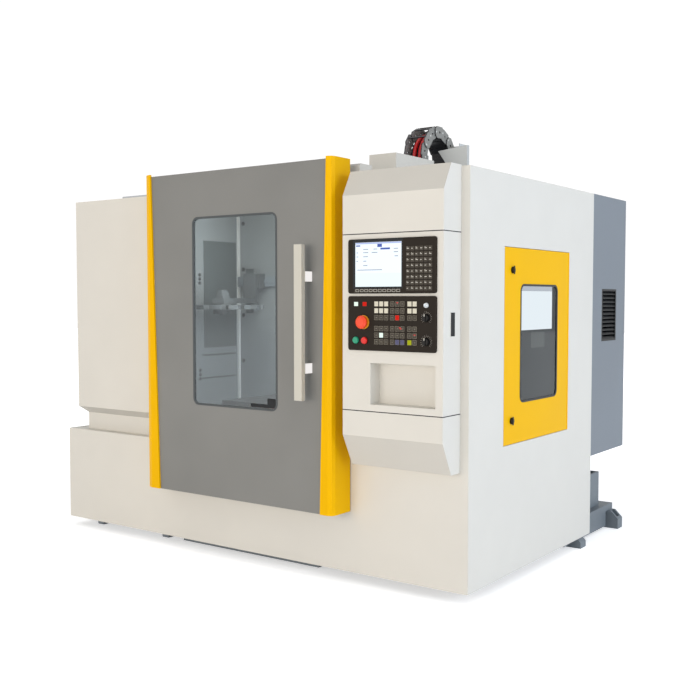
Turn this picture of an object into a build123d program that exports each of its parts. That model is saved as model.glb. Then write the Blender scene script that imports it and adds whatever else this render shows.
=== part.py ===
"""Vertical machining centre with a full sheet-steel enclosure.

Frame: +Z up, X to the operator's right, the operator stands on the -Y side.
The origin is the middle of the machine's footprint, at floor level. Millimetres.
"""
from math import atan2, cos, degrees, pi, radians, sin
import os

from build123d import *

# Enclosure
enclosure_width = 3320.0
enclosure_depth = 1715.0
panel_top_z = 2365.0
skirt_z = 65.0
ledge_z = 717.0
roof_drop = 12.0
sheet = 3.0
fold = 40.0
seam = 0.3
running = 0.3

# Depth of the whole machine, from the door handle to the back of the electrical cabinet
machine_depth = 2590.0
door_depth = 170.0
handle_reach = 95.0
cabinet_depth = 610.0

front_y = -machine_depth / 2 + door_depth + handle_reach
side_rear_y = front_y + enclosure_depth
cabinet_rear_y = side_rear_y + cabinet_depth
half_width = enclosure_width / 2
roof_z = panel_top_z - roof_drop

# Left tower, which houses the tool magazine
tower_left_x = 110.0 - half_width
tower_right_x = -560.0
tower_bottom_z = 885.0
neck_top_z = 835.0
neck_recess = 70.0
neck_inset = 25.0

# Front door
door_left_x = -645.0
door_width = 1530.0
door_bottom_z = 425.0
door_top_z = 2460.0
trim_rise = 12.0
trim_corner = 90.0
trim_gap = 5.0
trim_left_strip_top = 67.0
trim_left_strip_bottom = 126.0
trim_right_strip_top = 42.0
trim_right_strip_bottom = 88.0
door_travel = 1000.0
window_left_x = -215.0
window_width = 691.0
window_bottom_z = 995.0
window_height = 1175.0
window_corner = 45.0
glass_thickness = 8.0
gasket_width = 12.0
handle_x = 706.0
handle_width = 55.0
handle_bottom_z = 1083.0
handle_top_z = 1968.0
handle_bar = 30.0
post_width = 40.0
post_height = 58.0
post_zs = (1265.0, 1788.0)
roller_radius = 30.0
roller_width = 16.0
roller_left_x = -60.0
roller_pitch = 860.0
rail_left_x = -1075.0
rail_height = 14.0
rail_width = 30.0
guide_width = 60.0
guide_thickness = 6.0

# Control box on the right of the door
box_left_x = 963.0
box_width = 645.0
box_proud = 185.0
box_bottom_z = 903.0
box_face_top_z = 2230.0
box_back_top_z = 2370.0
box_back_bottom_z = 725.0
box_top_proud = 110.0
box_bottom_proud = 95.0
seam_upper_z = 2015.0
seam_lower_z = 1044.0
box_seam = 2.0
tray_width = 413.0
tray_bottom_z = 1083.0
tray_height = 228.0
tray_depth = 90.0

# Side door on the right
side_door_front = 406.0
side_door_width = 904.0
side_door_bottom_z = 821.0
side_door_height = 1136.0
side_window_front = 612.0
side_window_width = 525.0
side_window_bottom_z = 1053.0
side_window_height = 695.0
door_gap = 3.0
side_door_thickness = 25.0

# Work zone
lining_half_width = 1240.0
lining_front_gap = 105.0
lining_bottom_z = 640.0

# Axes travel
x_travel = 1000.0
y_travel = 550.0
z_travel = 600.0
spindle_y = front_y + 800.0

# Bed, a T-shaped casting
bed_bottom_z = 20.0
bed_top_z = 480.0
bed_half_width = 580.0
bed_front_y = front_y + 90.0
cross_rear_y = cabinet_rear_y - 29.0
cross_top_z = 170.0
bed_wall = 45.0
cell_shoulder_z = bed_top_z - 215.0
low_deck_z = cross_top_z - bed_wall
lug_reach = half_width + 16.0
lug_root_x = lug_reach - 176.0
cross_half_width = lug_reach - 76.0
lug_thickness = 90.0
lug_height = 125.0
lug_chamfer = 52.0
low_lug_height = 112.0
low_lug_chamfer = 72.0
lug_hole_radius = 13.0
lug_hole_x = lug_reach - 40.0
lug_seat_z = 60.0
front_lug_y = bed_front_y + 300.0
front_lug_reach = bed_half_width + 120.0
front_lug_hole_x = front_lug_reach - 38.0
riser_depth = 280.0
riser_wall = 14.0
riser_top_z = 413.0
riser_outer_x = lug_reach - 131.0
riser_width = 250.0
riser_rear_y = cross_rear_y - 131.0

# Linear guides
rail_size = 45.0
rail_section_height = 38.0
carriage_width = 120.0
carriage_length = 150.0
carriage_height = 60.0
y_rail_x = 355.0
x_rail_offset = 180.0
z_rail_x = 230.0

# Saddle and table
saddle_half_depth = 250.0
saddle_half_width = 800.0
saddle_core = 420.0
saddle_top_z = 700.0
table_length = 1200.0
table_width = 600.0
table_top_z = 940.0
slot_count = 5
slot_pitch = 100.0
slot_width = 18.0
slot_depth = 30.0

# Column and headstock
column_front_y = front_y + 1450.0
lining_rear_y = column_front_y - 60.0
column_half_width = 310.0
column_foot_half_width = 450.0
column_foot_rear_y = column_front_y + 710.0
column_top_rear_y = column_front_y + 460.0
cross_front_y = column_front_y - 30.0
lug_front_y = cross_front_y + 100.0
column_top_z = 2330.0
column_wall = 45.0
tunnel_half_width = 190.0
tunnel_height = 230.0
head_half_width = 190.0
head_front_y = spindle_y - 170.0
head_bottom_z = 1730.0
head_top_z = 2300.0
nose_radius = 110.0
nose_z = 1660.0
spindle_radius = 64.0
spindle_shaft_radius = 40.0
taper_radius = 22.2
taper_depth = 68.0
spindle_motor_radius = 125.0
spindle_motor_top_z = 2600.0

# Ball screws
screw_radius = 20.0
screw_lead = 16.0

# Tool magazine
magazine_pockets = 16
magazine_pitch_radius = 270.0
magazine_radius = 310.0
magazine_travel = 600.0
magazine_z = 1600.0
magazine_plate = 30.0
pocket_radius = 32.0
hub_radius = 25.2

# Drag chain over the column
chain_left_x = 340.0
chain_width = 165.0
chain_centre_y = column_front_y + 196.0
chain_centre_z = 2675.0
chain_radius = 200.0
chain_height = 84.0
chain_links_in_bend = 7
chain_front_links = 9
chain_rear_links = 4
plate_thickness = 8.0
hose_radius = 14.0

# Operator controls
bezel_depth = 10.0
upper_bezel = (1008.0, 1571.0, 1690.0, 1986.0)
lower_bezel = (1008.0, 1572.0, 1379.0, 1676.0)
screen_area = (1049.0, 1340.0, 1725.0, 1978.0)
bezel_corner = 14.0
button_radius = 20.0
button_travel = 4.0

door_right_x = door_left_x + door_width
door_front_y = front_y - door_depth
box_right_x = box_left_x + box_width
box_front_y = front_y - box_proud
side_door_y = (front_y + side_door_front, front_y + side_door_front + side_door_width)
side_door_z = (side_door_bottom_z, side_door_bottom_z + side_door_height)
side_window_y = (front_y + side_window_front, front_y + side_window_front + side_window_width)
side_window_z = (side_window_bottom_z, side_window_bottom_z + side_window_height)
chain_x = (chain_left_x, chain_left_x + chain_width)
far = enclosure_width + machine_depth
head_rear_y = column_front_y - rail_section_height - 30.0


def block(x, y, z):
    """A box between two limits on each axis."""
    size = (x[1] - x[0], y[1] - y[0], z[1] - z[0])
    centre = ((x[0] + x[1]) / 2, (y[0] + y[1]) / 2, (z[0] + z[1]) / 2)
    return Pos(*centre) * Box(*size)


def along_x(points, x):
    """An outline of (y, z) points, extruded between two x values."""
    outline = make_face(Polyline(*points, close=True))
    return extrude(Plane.YZ.offset(x[0]) * outline, amount=x[1] - x[0])


def along_y(points, y):
    """An outline of (x, z) points, extruded between two y values."""
    outline = make_face(Polyline(*points, close=True))
    plane = Plane(origin=(0, y[0], 0), x_dir=(1, 0, 0), z_dir=(0, -1, 0))
    return extrude(plane * outline, amount=-(y[1] - y[0]))


def along_z(points, z):
    """An outline of (x, y) points, extruded between two z values."""
    outline = make_face(Polyline(*points, close=True))
    return extrude(Plane.XY.offset(z[0]) * outline, amount=z[1] - z[0])


def rounded_front(x, z, radius, y):
    """A rounded rectangle seen from the front, between two y values."""
    plane = Plane(origin=((x[0] + x[1]) / 2, y[0], (z[0] + z[1]) / 2), x_dir=(1, 0, 0), z_dir=(0, -1, 0))
    return extrude(plane * RectangleRounded(x[1] - x[0], z[1] - z[0], radius), amount=-(y[1] - y[0]))


def rounded_side(y, z, radius, x):
    """A rounded rectangle seen from the side, between two x values."""
    plane = Plane(origin=(x[0], (y[0] + y[1]) / 2, (z[0] + z[1]) / 2), x_dir=(0, 1, 0), z_dir=(1, 0, 0))
    return extrude(plane * RectangleRounded(y[1] - y[0], z[1] - z[0], radius), amount=x[1] - x[0])


def rod_x(radius, x, y, z):
    return Pos((x[0] + x[1]) / 2, y, z) * Rot(0, 90, 0) * Cylinder(radius, x[1] - x[0])


def rod_y(radius, x, y, z):
    return Pos(x, (y[0] + y[1]) / 2, z) * Rot(90, 0, 0) * Cylinder(radius, y[1] - y[0])


def rod_z(radius, x, y, z):
    return Pos(x, y, (z[0] + z[1]) / 2) * Cylinder(radius, z[1] - z[0])


def faceted_y(radius, x, y, z, sides=16):
    """A many-sided bar along Y, for small round details that need few facets."""
    plane = Plane(origin=(x, y[0], z), x_dir=(1, 0, 0), z_dir=(0, 1, 0))
    return extrude(plane * RegularPolygon(radius, sides, major_radius=False), amount=y[1] - y[0])


def faceted_x(radius, x, y, z, sides=16):
    plane = Plane(origin=(x[0], y, z), x_dir=(0, 1, 0), z_dir=(1, 0, 0))
    return extrude(plane * RegularPolygon(radius, sides), amount=x[1] - x[0])


def faceted_z(radius, x, y, z, sides=16):
    return extrude(Plane(origin=(x, y, z[0])) * RegularPolygon(radius, sides), amount=z[1] - z[0])


def grown(limits, amount):
    return (limits[0] - amount, limits[1] + amount)


def divided(body, axis, *places):
    """The solids left when a body is cut across one axis (0 is X, 1 is Y, 2 is Z)."""
    pieces = []
    edges = (-far, *places, far)
    for low, high in zip(edges, edges[1:]):
        limits = [(-far, far), (-far, far), (-far, far)]
        limits[axis] = (low, high)
        common = body & block(*limits)
        if common:
            pieces += common.solids()
    return pieces


def save(node, *pieces):
    """Writes one node, made of one or more separate solids."""
    solids = [solid for piece in pieces for solid in piece.solids()]
    shape = solids[0] if len(solids) == 1 else Compound(children=solids)
    shape.label = node
    export_step(shape, f"parts/{node}.step")


def lug(side, front, reach, root, height, chamfer):
    """A levelling lug of the bed."""
    outline = [
        (side * root, 0),
        (side * reach, 0),
        (side * reach, height - chamfer),
        (side * (reach - chamfer), height),
        (side * root, height),
    ]
    return along_y(outline, (front, front + lug_thickness))


def bed_cells():
    """Open cells under the bed, with ribs left between them."""
    wall = bed_wall
    floor_z = bed_bottom_z - 1
    edge = bed_half_width - wall
    deck = bed_top_z - 60 - wall
    core = [
        (-edge, floor_z),
        (edge, floor_z),
        (edge, cell_shoulder_z),
        (edge - 105, deck),
        (105 - edge, deck),
        (-edge, cell_shoulder_z),
    ]
    cells = []
    bay_count = 3
    bay = (cross_front_y - bed_front_y - wall) / bay_count
    for index in range(bay_count):
        start = bed_front_y + wall + index * bay
        cells.append(along_y(core, (start, start + bay - wall)))
    cross_y = (cross_front_y + wall, cross_rear_y - wall)
    middle_y = (cross_y[0] + cross_y[1]) / 2
    for y in ((cross_y[0], middle_y - wall / 2), (middle_y + wall / 2, cross_y[1])):
        cells.append(along_y(core, y))
        for side in (-1, 1):
            x = sorted((side * (bed_half_width + wall), side * (lug_root_x - wall)))
            cells.append(block(x, y, (floor_z, low_deck_z)))
    return cells


def bed_casting():
    """T-shaped bed: a long body under the saddle and a wide cross part under the column.

    The walls round the cells and the decks above them are separate solids that meet face to face.
    """
    rib = 60.0
    land = 85.0
    trough = 200.0
    inner = y_rail_x - land
    outer = y_rail_x + land
    core = [
        (-bed_half_width, bed_bottom_z),
        (bed_half_width, bed_bottom_z),
        (bed_half_width, bed_top_z - trough),
        (outer, bed_top_z),
        (inner, bed_top_z),
        (inner - rib, bed_top_z - rib),
        (-inner + rib, bed_top_z - rib),
        (-inner, bed_top_z),
        (-outer, bed_top_z),
        (-bed_half_width, bed_top_z - trough),
    ]
    body = along_y(core, (bed_front_y, cross_front_y + 1))
    shoulder = column_foot_half_width + rib
    cross = [
        (-cross_half_width, bed_bottom_z),
        (cross_half_width, bed_bottom_z),
        (cross_half_width, cross_top_z),
        (shoulder + trough, cross_top_z),
        (shoulder, bed_top_z),
        (-shoulder, bed_top_z),
        (-shoulder - trough, cross_top_z),
        (-cross_half_width, cross_top_z),
    ]
    body += along_y(cross, (cross_front_y, cross_rear_y))
    body -= block((-75, 75), (cross_front_y - 1, column_front_y + 205), (bed_top_z - 50, bed_top_z + 1))
    for cell in bed_cells():
        body -= cell
    pocket = 40.0
    rear_lug_y = cross_rear_y - lug_thickness
    lugs = (
        (lug_front_y, lug_reach, lug_root_x, low_lug_height, low_lug_chamfer, lug_hole_x),
        (rear_lug_y, lug_reach, lug_root_x, lug_height, lug_chamfer, lug_hole_x),
        (front_lug_y, front_lug_reach, bed_half_width - rib, low_lug_height, low_lug_chamfer, front_lug_hole_x),
    )
    for side in (-1, 1):
        riser_x = sorted((side * (riser_outer_x - riser_width), side * riser_outer_x))
        riser_y = (riser_rear_y - riser_depth, riser_rear_y)
        riser = block(riser_x, riser_y, (cross_top_z - 1, riser_top_z))
        hollow = block(grown(riser_x, -riser_wall), grown(riser_y, -riser_wall), (cross_top_z, riser_top_z + 1))
        body += riser - hollow
        for front in (lug_front_y, rear_lug_y):
            side_x = sorted((side * (cross_half_width - pocket), side * (cross_half_width + 1)))
            body -= block(side_x, (front - pocket, front), (bed_bottom_z - 1, lug_height))
        for front, reach, root, height, chamfer, hole_x in lugs:
            body += lug(side, front, reach, root, height, chamfer)
            middle = front + lug_thickness / 2
            body -= rod_z(lug_hole_radius, side * hole_x, middle, (-1, cross_top_z + 1))
            seat_x = grown((side * hole_x, side * hole_x), lug_hole_radius * 2)
            body -= block(seat_x, grown((middle, middle), lug_hole_radius * 2), (lug_seat_z, height + 1))
    solids = []
    wall_x = bed_half_width - bed_wall
    for part in divided(body, 1, cross_front_y):
        for piece in divided(part, 0, -bed_half_width, bed_half_width):
            if abs(piece.center().X) > bed_half_width:
                solids += divided(piece, 2, low_deck_z, cross_top_z)
                continue
            for level in divided(piece, 2, cell_shoulder_z):
                is_deck = level.center().Z > cell_shoulder_z
                solids += [level] if is_deck else divided(level, 0, -wall_x, wall_x)
    return solids


def column_outer(inset):
    """The column's outside form, drawn in by a wall's thickness for its core."""
    foot_z = bed_top_z + inset
    side = [
        (column_front_y + inset, foot_z),
        (column_foot_rear_y - inset, foot_z),
        (column_foot_rear_y - inset, 780),
        (column_top_rear_y + 30 - inset, 1500),
        (column_top_rear_y - inset, column_top_z - inset),
        (column_front_y + inset, column_top_z - inset),
    ]
    front = [
        (-column_foot_half_width + inset, foot_z),
        (column_foot_half_width - inset, foot_z),
        (column_foot_half_width - inset, 760),
        (column_half_width - inset, 1150),
        (column_half_width - inset, column_top_z - inset),
        (-column_half_width + inset, column_top_z - inset),
        (-column_half_width + inset, 1150),
        (-column_foot_half_width + inset, 760),
    ]
    return along_x(side, (-column_foot_half_width - 1, column_foot_half_width + 1)) & along_y(front, (column_front_y - 1, column_foot_rear_y + 1))


def column_casting():
    """Hollow cast column with a tunnel for the Y drive and core windows at the back."""
    body = column_outer(0) - column_outer(column_wall)
    tunnel_top = bed_top_z + tunnel_height
    tunnel = [
        (-tunnel_half_width, bed_top_z - 1),
        (tunnel_half_width, bed_top_z - 1),
        (tunnel_half_width, tunnel_top - 80),
        (tunnel_half_width - 80, tunnel_top),
        (80 - tunnel_half_width, tunnel_top),
        (-tunnel_half_width, tunnel_top - 80),
    ]
    body -= along_y(tunnel, (column_front_y - 1, column_foot_rear_y + 1))
    for bottom, height in ((900, 420), (1420, 420), (1940, 260)):
        window_y = (column_front_y + 280, column_foot_rear_y + 1)
        window = [
            (-170, bottom + 60),
            (-110, bottom),
            (110, bottom),
            (170, bottom + 60),
            (170, bottom + height - 60),
            (110, bottom + height),
            (-110, bottom + height),
            (-170, bottom + height - 60),
        ]
        body -= along_y(window, window_y)
    return body


def linear_rail(length_axis, start, end, across, base):
    """One profiled rail; the axis letter says which way it runs, and base is its foot."""
    half = rail_size / 2
    waist = 4.0
    section = [
        (-half, 0),
        (half, 0),
        (half, 14),
        (half - waist, 20),
        (half, 28),
        (half, rail_section_height),
        (-half, rail_section_height),
        (-half, 28),
        (-half + waist, 20),
        (-half, 14),
    ]
    if length_axis == "y":
        return along_y([(across + a, base + b) for a, b in section], (start, end))
    if length_axis == "x":
        return along_x([(across + a, base + b) for a, b in section], (start, end))
    return along_z([(across + a, base - b) for a, b in section], (start, end))


def carriage_section():
    """Half-open block that runs over a rail, as (across, up) points from the rail's foot."""
    half = carriage_width / 2
    bore = rail_size / 2 + running
    top = rail_section_height + 30.0
    return [
        (-half, 8),
        (-bore, 8),
        (-bore, rail_section_height + running),
        (bore, rail_section_height + running),
        (bore, 8),
        (half, 8),
        (half, top),
        (-half, top),
    ]


def y_axis_guides():
    rails = [
        linear_rail("y", bed_front_y + 40, column_front_y - 20, side * y_rail_x, bed_top_z)
        for side in (-1, 1)
    ]
    return rails


def y_carriages():
    blocks = []
    reach = saddle_half_depth - carriage_length
    for side in (-1, 1):
        for start in (spindle_y - saddle_half_depth, spindle_y + reach):
            section = [(side * y_rail_x + a, bed_top_z + b) for a, b in carriage_section()]
            blocks.append(along_y(section, (start, start + carriage_length)))
    return blocks


saddle_bottom_z = bed_top_z + rail_section_height + 30.0
nut_half = 45.0
x_screw_z = saddle_top_z + 26.0
y_screw_z = bed_top_z + 25.0


def saddle_casting():
    """Cross slide with tapered wings, a channel for the X screw and a boss for the Y nut."""
    wing_z = saddle_bottom_z + 70.0
    outline = [
        (-saddle_half_width, wing_z),
        (-saddle_core, saddle_bottom_z),
        (saddle_core, saddle_bottom_z),
        (saddle_half_width, wing_z),
        (saddle_half_width, saddle_top_z),
        (-saddle_half_width, saddle_top_z),
    ]
    y = (spindle_y - saddle_half_depth, spindle_y + saddle_half_depth)
    body = along_y(outline, y)
    channel = (spindle_y - 60, spindle_y + 60)
    body -= block((-saddle_half_width - 1, saddle_half_width + 1), channel, (saddle_top_z - 45, saddle_top_z + 1))
    nut = block((-nut_half, nut_half), (spindle_y - 60, spindle_y + 60), (y_screw_z - nut_half, saddle_bottom_z + 1))
    body += nut
    return body - faceted_y(screw_radius + running, 0, (spindle_y - 61, spindle_y + 61), y_screw_z, 24)


def x_axis_guides():
    limits = (-saddle_half_width, saddle_half_width)
    return [linear_rail("x", *limits, spindle_y + side * x_rail_offset, saddle_top_z) for side in (-1, 1)]


def x_carriages():
    blocks = []
    carriage_centre = 215.0
    for side in (-1, 1):
        for middle in (-carriage_centre, carriage_centre):
            rail_y = spindle_y + side * x_rail_offset
            section = [(rail_y + a, saddle_top_z + b) for a, b in carriage_section()]
            blocks.append(along_x(section, (middle - carriage_length / 2, middle + carriage_length / 2)))
    return blocks


def work_table():
    """Table with T-slots, hollow between the lands that sit on the carriages."""
    front = spindle_y - table_width / 2
    back = spindle_y + table_width / 2
    land_z = saddle_top_z + rail_section_height + 30.0
    deck_z = table_top_z - 80.0
    hollow = 60.0
    top = []
    for index in range(slot_count):
        middle = spindle_y + (index - (slot_count - 1) / 2) * slot_pitch
        narrow = slot_width / 2
        wide = slot_width * 0.85
        neck_z = table_top_z - slot_depth / 2
        floor_z = table_top_z - slot_depth
        top += [
            (middle - narrow, table_top_z),
            (middle - narrow, neck_z),
            (middle - wide, neck_z),
            (middle - wide, floor_z),
            (middle + wide, floor_z),
            (middle + wide, neck_z),
            (middle + narrow, neck_z),
            (middle + narrow, table_top_z),
        ]
    under = [
        (back, land_z),
        (spindle_y + hollow, land_z),
        (spindle_y + hollow, deck_z),
        (spindle_y - hollow, deck_z),
        (spindle_y - hollow, land_z),
        (front, land_z),
    ]
    outline = [(front, table_top_z)] + top + [(back, table_top_z)] + under
    body = along_x(outline, (-table_length / 2, table_length / 2))
    nut = block((-nut_half, nut_half), (spindle_y - 40, spindle_y + 40), (x_screw_z - 32, deck_z + 1))
    body += nut
    return body - faceted_x(screw_radius + 2 * running, (-nut_half - 1, nut_half + 1), spindle_y, x_screw_z, 24)


def ball_screw(length, thread_length):
    """Screw with a thread land and slimmer journals, drawn up along Z from its lower end."""
    start = (length - thread_length) / 2
    journals = faceted_z(screw_radius * 0.7, 0, 0, (0, length), 12)
    return rod_z(screw_radius, 0, 0, (start, start + thread_length)) + journals


def chamfered_bar(size, corner, z):
    """A square bar with chamfered edges, standing on the Z axis."""
    half = size / 2
    inner = half - corner
    corners = [(half, inner), (inner, half), (-inner, half), (-half, inner)]
    corners += [(-half, -inner), (-inner, -half), (inner, -half), (half, -inner)]
    return along_z(corners, z)


def servo_motor(size, length):
    """Square servo motor with a flange and a stepped back, drawn up from its mounting face."""
    flange = Pos(0, 0, 7) * Box(size, size, 14)
    body = chamfered_bar(size * 0.92, size * 0.12, (14, length * 0.7))
    return flange + body + chamfered_bar(size * 0.75, size * 0.1, (length * 0.7, length))


z_carriage_low = 1830.0
flange_bottom_z = 1790.0
z_screw_y = (column_front_y + head_rear_y) / 2
z_rail_bottom_z = 1180.0
bearing_thickness = 40.0


def head_casting():
    """Headstock: wedge-nosed casting with a guide flange, a nose housing and the Z nut bracket."""
    chamfer = 45.0
    side = [
        (head_rear_y - 30, flange_bottom_z),
        (spindle_y + 350, head_bottom_z + 30),
        (head_front_y + chamfer, head_bottom_z),
        (head_front_y, head_bottom_z + chamfer),
        (head_front_y, head_top_z - chamfer),
        (head_front_y + chamfer, head_top_z),
        (head_rear_y - 30, head_top_z),
    ]
    top = [
        (-head_half_width, head_rear_y - 30),
        (-head_half_width, head_front_y + chamfer),
        (chamfer - head_half_width, head_front_y),
        (head_half_width - chamfer, head_front_y),
        (head_half_width, head_front_y + chamfer),
        (head_half_width, head_rear_y - 30),
    ]
    body = along_x(side, (-head_half_width, head_half_width)) & along_z(top, (head_bottom_z - 1, head_top_z + 1))
    flange_half = z_rail_x + carriage_width / 2
    body += block((-flange_half, flange_half), (head_rear_y - 30, head_rear_y), (flange_bottom_z, head_top_z))
    body += faceted_z(nose_radius, 0, spindle_y, (nose_z, head_bottom_z + 1), 24)
    nut_y = (head_rear_y - 1, column_front_y - 6)
    body += block((-nut_half, nut_half), nut_y, (1990, 2110))
    body -= faceted_z(screw_radius + 2 * running, 0, z_screw_y, (1989, 2111), 24)
    body -= faceted_z(spindle_shaft_radius + 2 * running, 0, spindle_y, (nose_z - 1, nose_z + 240), 24)
    return body


def z_axis_guides():
    limits = (z_rail_bottom_z, head_top_z)
    return [linear_rail("z", *limits, side * z_rail_x, column_front_y) for side in (-1, 1)]


def z_carriages():
    blocks = []
    upper = z_carriage_low + 300.0
    for side in (-1, 1):
        for start in (z_carriage_low, upper):
            section = [(side * z_rail_x + a, column_front_y - b) for a, b in carriage_section()]
            blocks.append(along_z(section, (start, start + carriage_length)))
    return blocks


def spindle():
    """Turned spindle nose with its taper bore and two drive keys."""
    face_z = nose_z - 20.0
    slope = 7 / 48
    body = faceted_z(spindle_radius, 0, spindle_y, (face_z, nose_z - 0.5), 24)
    body += faceted_z(spindle_shaft_radius, 0, spindle_y, (nose_z - 1, nose_z + 230), 24)
    inner_radius = taper_radius - taper_depth * slope
    taper = cone((taper_radius, inner_radius), (0, 0), (face_z, face_z + taper_depth), 24)
    body -= Pos(0, spindle_y, 0) * Rot(90, 0, 0) * taper
    for side in (-1, 1):
        key_x = sorted((side * 26, side * 44))
        body += block(key_x, (spindle_y - 8, spindle_y + 8), (face_z - 7, face_z + 1))
    return body


def spindle_motor():
    half = spindle_motor_radius + 15
    flange = block((-half, half), (spindle_y - half, spindle_y + half), (head_top_z, head_top_z + 18))
    body = faceted_z(spindle_motor_radius, 0, spindle_y, (head_top_z + 17, spindle_motor_top_z - 60), 24)
    cap = faceted_z(spindle_motor_radius * 0.8, 0, spindle_y, (spindle_motor_top_z - 61, spindle_motor_top_z), 24)
    return flange + body + cap


def screw_supports():
    """Fixed bearing blocks of the Y and Z screws."""
    pieces = []
    for start in (bed_front_y + 50, column_front_y - 90):
        seat = block((-70, 70), (start, start + bearing_thickness), (bed_top_z - 60, y_screw_z + 35))
        pieces.append(seat - faceted_y(screw_radius * 0.7 + 2 * running, 0, (start - 1, start + bearing_thickness + 1), y_screw_z))
    for bottom in (z_rail_bottom_z - 50, head_top_z - 10):
        seat = block((-60, 60), (head_rear_y + 4, column_front_y), (bottom, bottom + bearing_thickness))
        hole = faceted_z(screw_radius * 0.7 + 2 * running, 0, z_screw_y, (bottom - 1, bottom + bearing_thickness + 1))
        pieces.append(seat - hole)
    return pieces


def x_screw_supports():
    pieces = []
    for start in (-saddle_half_width + 10, saddle_half_width - 50):
        seat = block((start, start + bearing_thickness), (spindle_y - 45, spindle_y + 45), (saddle_top_z - 45, x_screw_z + 32))
        hole = faceted_x(screw_radius * 0.7 + 2 * running, (start - 1, start + bearing_thickness + 1), spindle_y, x_screw_z)
        pieces.append(seat - hole)
    return pieces


def axis_screws():
    """The three ball screws, each in its place."""
    x_length = 2 * saddle_half_width - 20
    y_length = column_front_y - 50 - bed_front_y - 50
    z_length = column_top_z - z_rail_bottom_z + 50
    x_screw = Pos(-x_length / 2, spindle_y, x_screw_z) * Rot(0, 90, 0) * ball_screw(x_length, x_length - 110)
    y_screw = Pos(0, bed_front_y + 50, y_screw_z) * Rot(-90, 0, 0) * ball_screw(y_length, y_length - 110)
    z_screw = Pos(0, z_screw_y, z_rail_bottom_z - 50) * ball_screw(z_length, z_length - 110)
    return x_screw, y_screw, z_screw


def x_motor():
    return Pos(saddle_half_width, spindle_y, x_screw_z) * Rot(0, 90, 0) * servo_motor(100, 170)


def x_motor_bracket():
    x = (saddle_half_width - 8, saddle_half_width)
    return block(x, (spindle_y - 50, spindle_y + 50), (saddle_top_z - 45, x_screw_z + 50))


def y_motor():
    return Pos(0, column_front_y - 50, y_screw_z) * Rot(-90, 0, 0) * servo_motor(130, 230)


def z_motor():
    return Pos(0, z_screw_y, column_top_z) * servo_motor(150, 250)


cover_count = 5
cover_length = 180.0
cover_front_y = front_y + 60.0
cover_step = (spindle_y - saddle_half_depth - cover_front_y - cover_length) / (cover_count - 1)
cover_sheet = 2.5


def way_cover(index):
    """One telescopic cover over the front of the Y guides; each slides over the one before it."""
    grow = index * (cover_sheet + running)
    half = y_rail_x + rail_size + grow
    top = bed_top_z + 108 + grow
    base = bed_top_z + running
    y = cover_front_y + index * cover_step
    outer = [(-half, base), (-half, top - 30), (-half + 90, top), (half - 90, top), (half, top - 30), (half, base)]
    inner = [
        (half - cover_sheet, base),
        (half - cover_sheet, top - 30 - cover_sheet * 0.55),
        (half - 90 - cover_sheet * 0.1, top - cover_sheet),
        (-half + 90 + cover_sheet * 0.1, top - cover_sheet),
        (-half + cover_sheet, top - 30 - cover_sheet * 0.55),
        (-half + cover_sheet, base),
    ]
    return along_y(outer + inner, (y, y + cover_length))


magazine_x = -magazine_pitch_radius - magazine_travel
carriage_shift = 120.0
beam_z = magazine_z + 200.0
beam_y = column_front_y - 120.0


def magazine_beam():
    """Beam on the column's left side that carries the tool changer."""
    bracket_x = (-column_half_width - 20, -column_half_width)
    bracket = block(bracket_x, (beam_y, column_front_y + 140), (beam_z - 90, beam_z + 90))
    end = magazine_x - carriage_shift - 210
    beam = block((end, bracket_x[0] + 1), (beam_y, beam_y + 50), (beam_z - 40, beam_z + 40))
    guide = block((end + 10, bracket_x[0]), (beam_y - 10, beam_y + 1), (beam_z - 12, beam_z + 12))
    return bracket + beam + guide


def magazine_carriage():
    """Carriage on the beam, with the arm and hub that hold the tool disc."""
    middle = magazine_x - carriage_shift
    front = beam_y - 70
    body = block((middle - 80, middle + 80), (front, beam_y - running), (beam_z - 60, beam_z + 60))
    groove = 12 + running
    body -= block((middle - 81, middle + 81), (beam_y - 10 - running, beam_y), (beam_z - groove, beam_z + groove))
    disc_top = magazine_z + magazine_plate / 2
    arm_z = (disc_top + 12, disc_top + 52)
    arm = [
        (middle - 60, front + 1),
        (middle + 60, front + 1),
        (magazine_x + 50, spindle_y + 60),
        (magazine_x + 50, spindle_y - 40),
        (magazine_x - 50, spindle_y - 60),
        (middle - 60, spindle_y + 290),
    ]
    body += along_z(arm, arm_z)
    body += block((middle - 60, middle + 60), (front - 30, front + 1), (arm_z[0], beam_z + 60))
    shaft = faceted_z(hub_radius, magazine_x, spindle_y, (magazine_z - 60, arm_z[0] + 1))
    return body + shaft


def magazine_motor():
    disc_top = magazine_z + magazine_plate / 2
    return Pos(magazine_x, spindle_y, disc_top + 52) * servo_motor(80, 60)


def magazine_disc():
    """Toothed tool disc: pockets around its edge, open outwards."""
    disc = faceted_z(magazine_radius, 0, 0, (-magazine_plate / 2, magazine_plate / 2), 2 * magazine_pockets)
    disc += faceted_z(70, 0, 0, (-magazine_plate / 2 - 35, magazine_plate / 2 + 8), 24)
    disc -= rod_z(hub_radius + 2 * running, 0, 0, (-100, 100))
    for index in range(magazine_pockets):
        pocket = [(magazine_pitch_radius - 30, -14), (magazine_pitch_radius - 30, 14)]
        pocket += [(magazine_pitch_radius - 14, pocket_radius - 6), (magazine_radius + 5, pocket_radius)]
        pocket += [(magazine_radius + 5, -pocket_radius), (magazine_pitch_radius - 14, 6 - pocket_radius)]
        cut = along_z(pocket, (-magazine_plate, magazine_plate))
        disc -= Rot(0, 0, 360 * index / magazine_pockets) * cut
    return Pos(magazine_x, spindle_y, magazine_z) * disc


chain_pitch = pi * chain_radius / chain_links_in_bend
crossbar_width = 12.0


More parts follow.
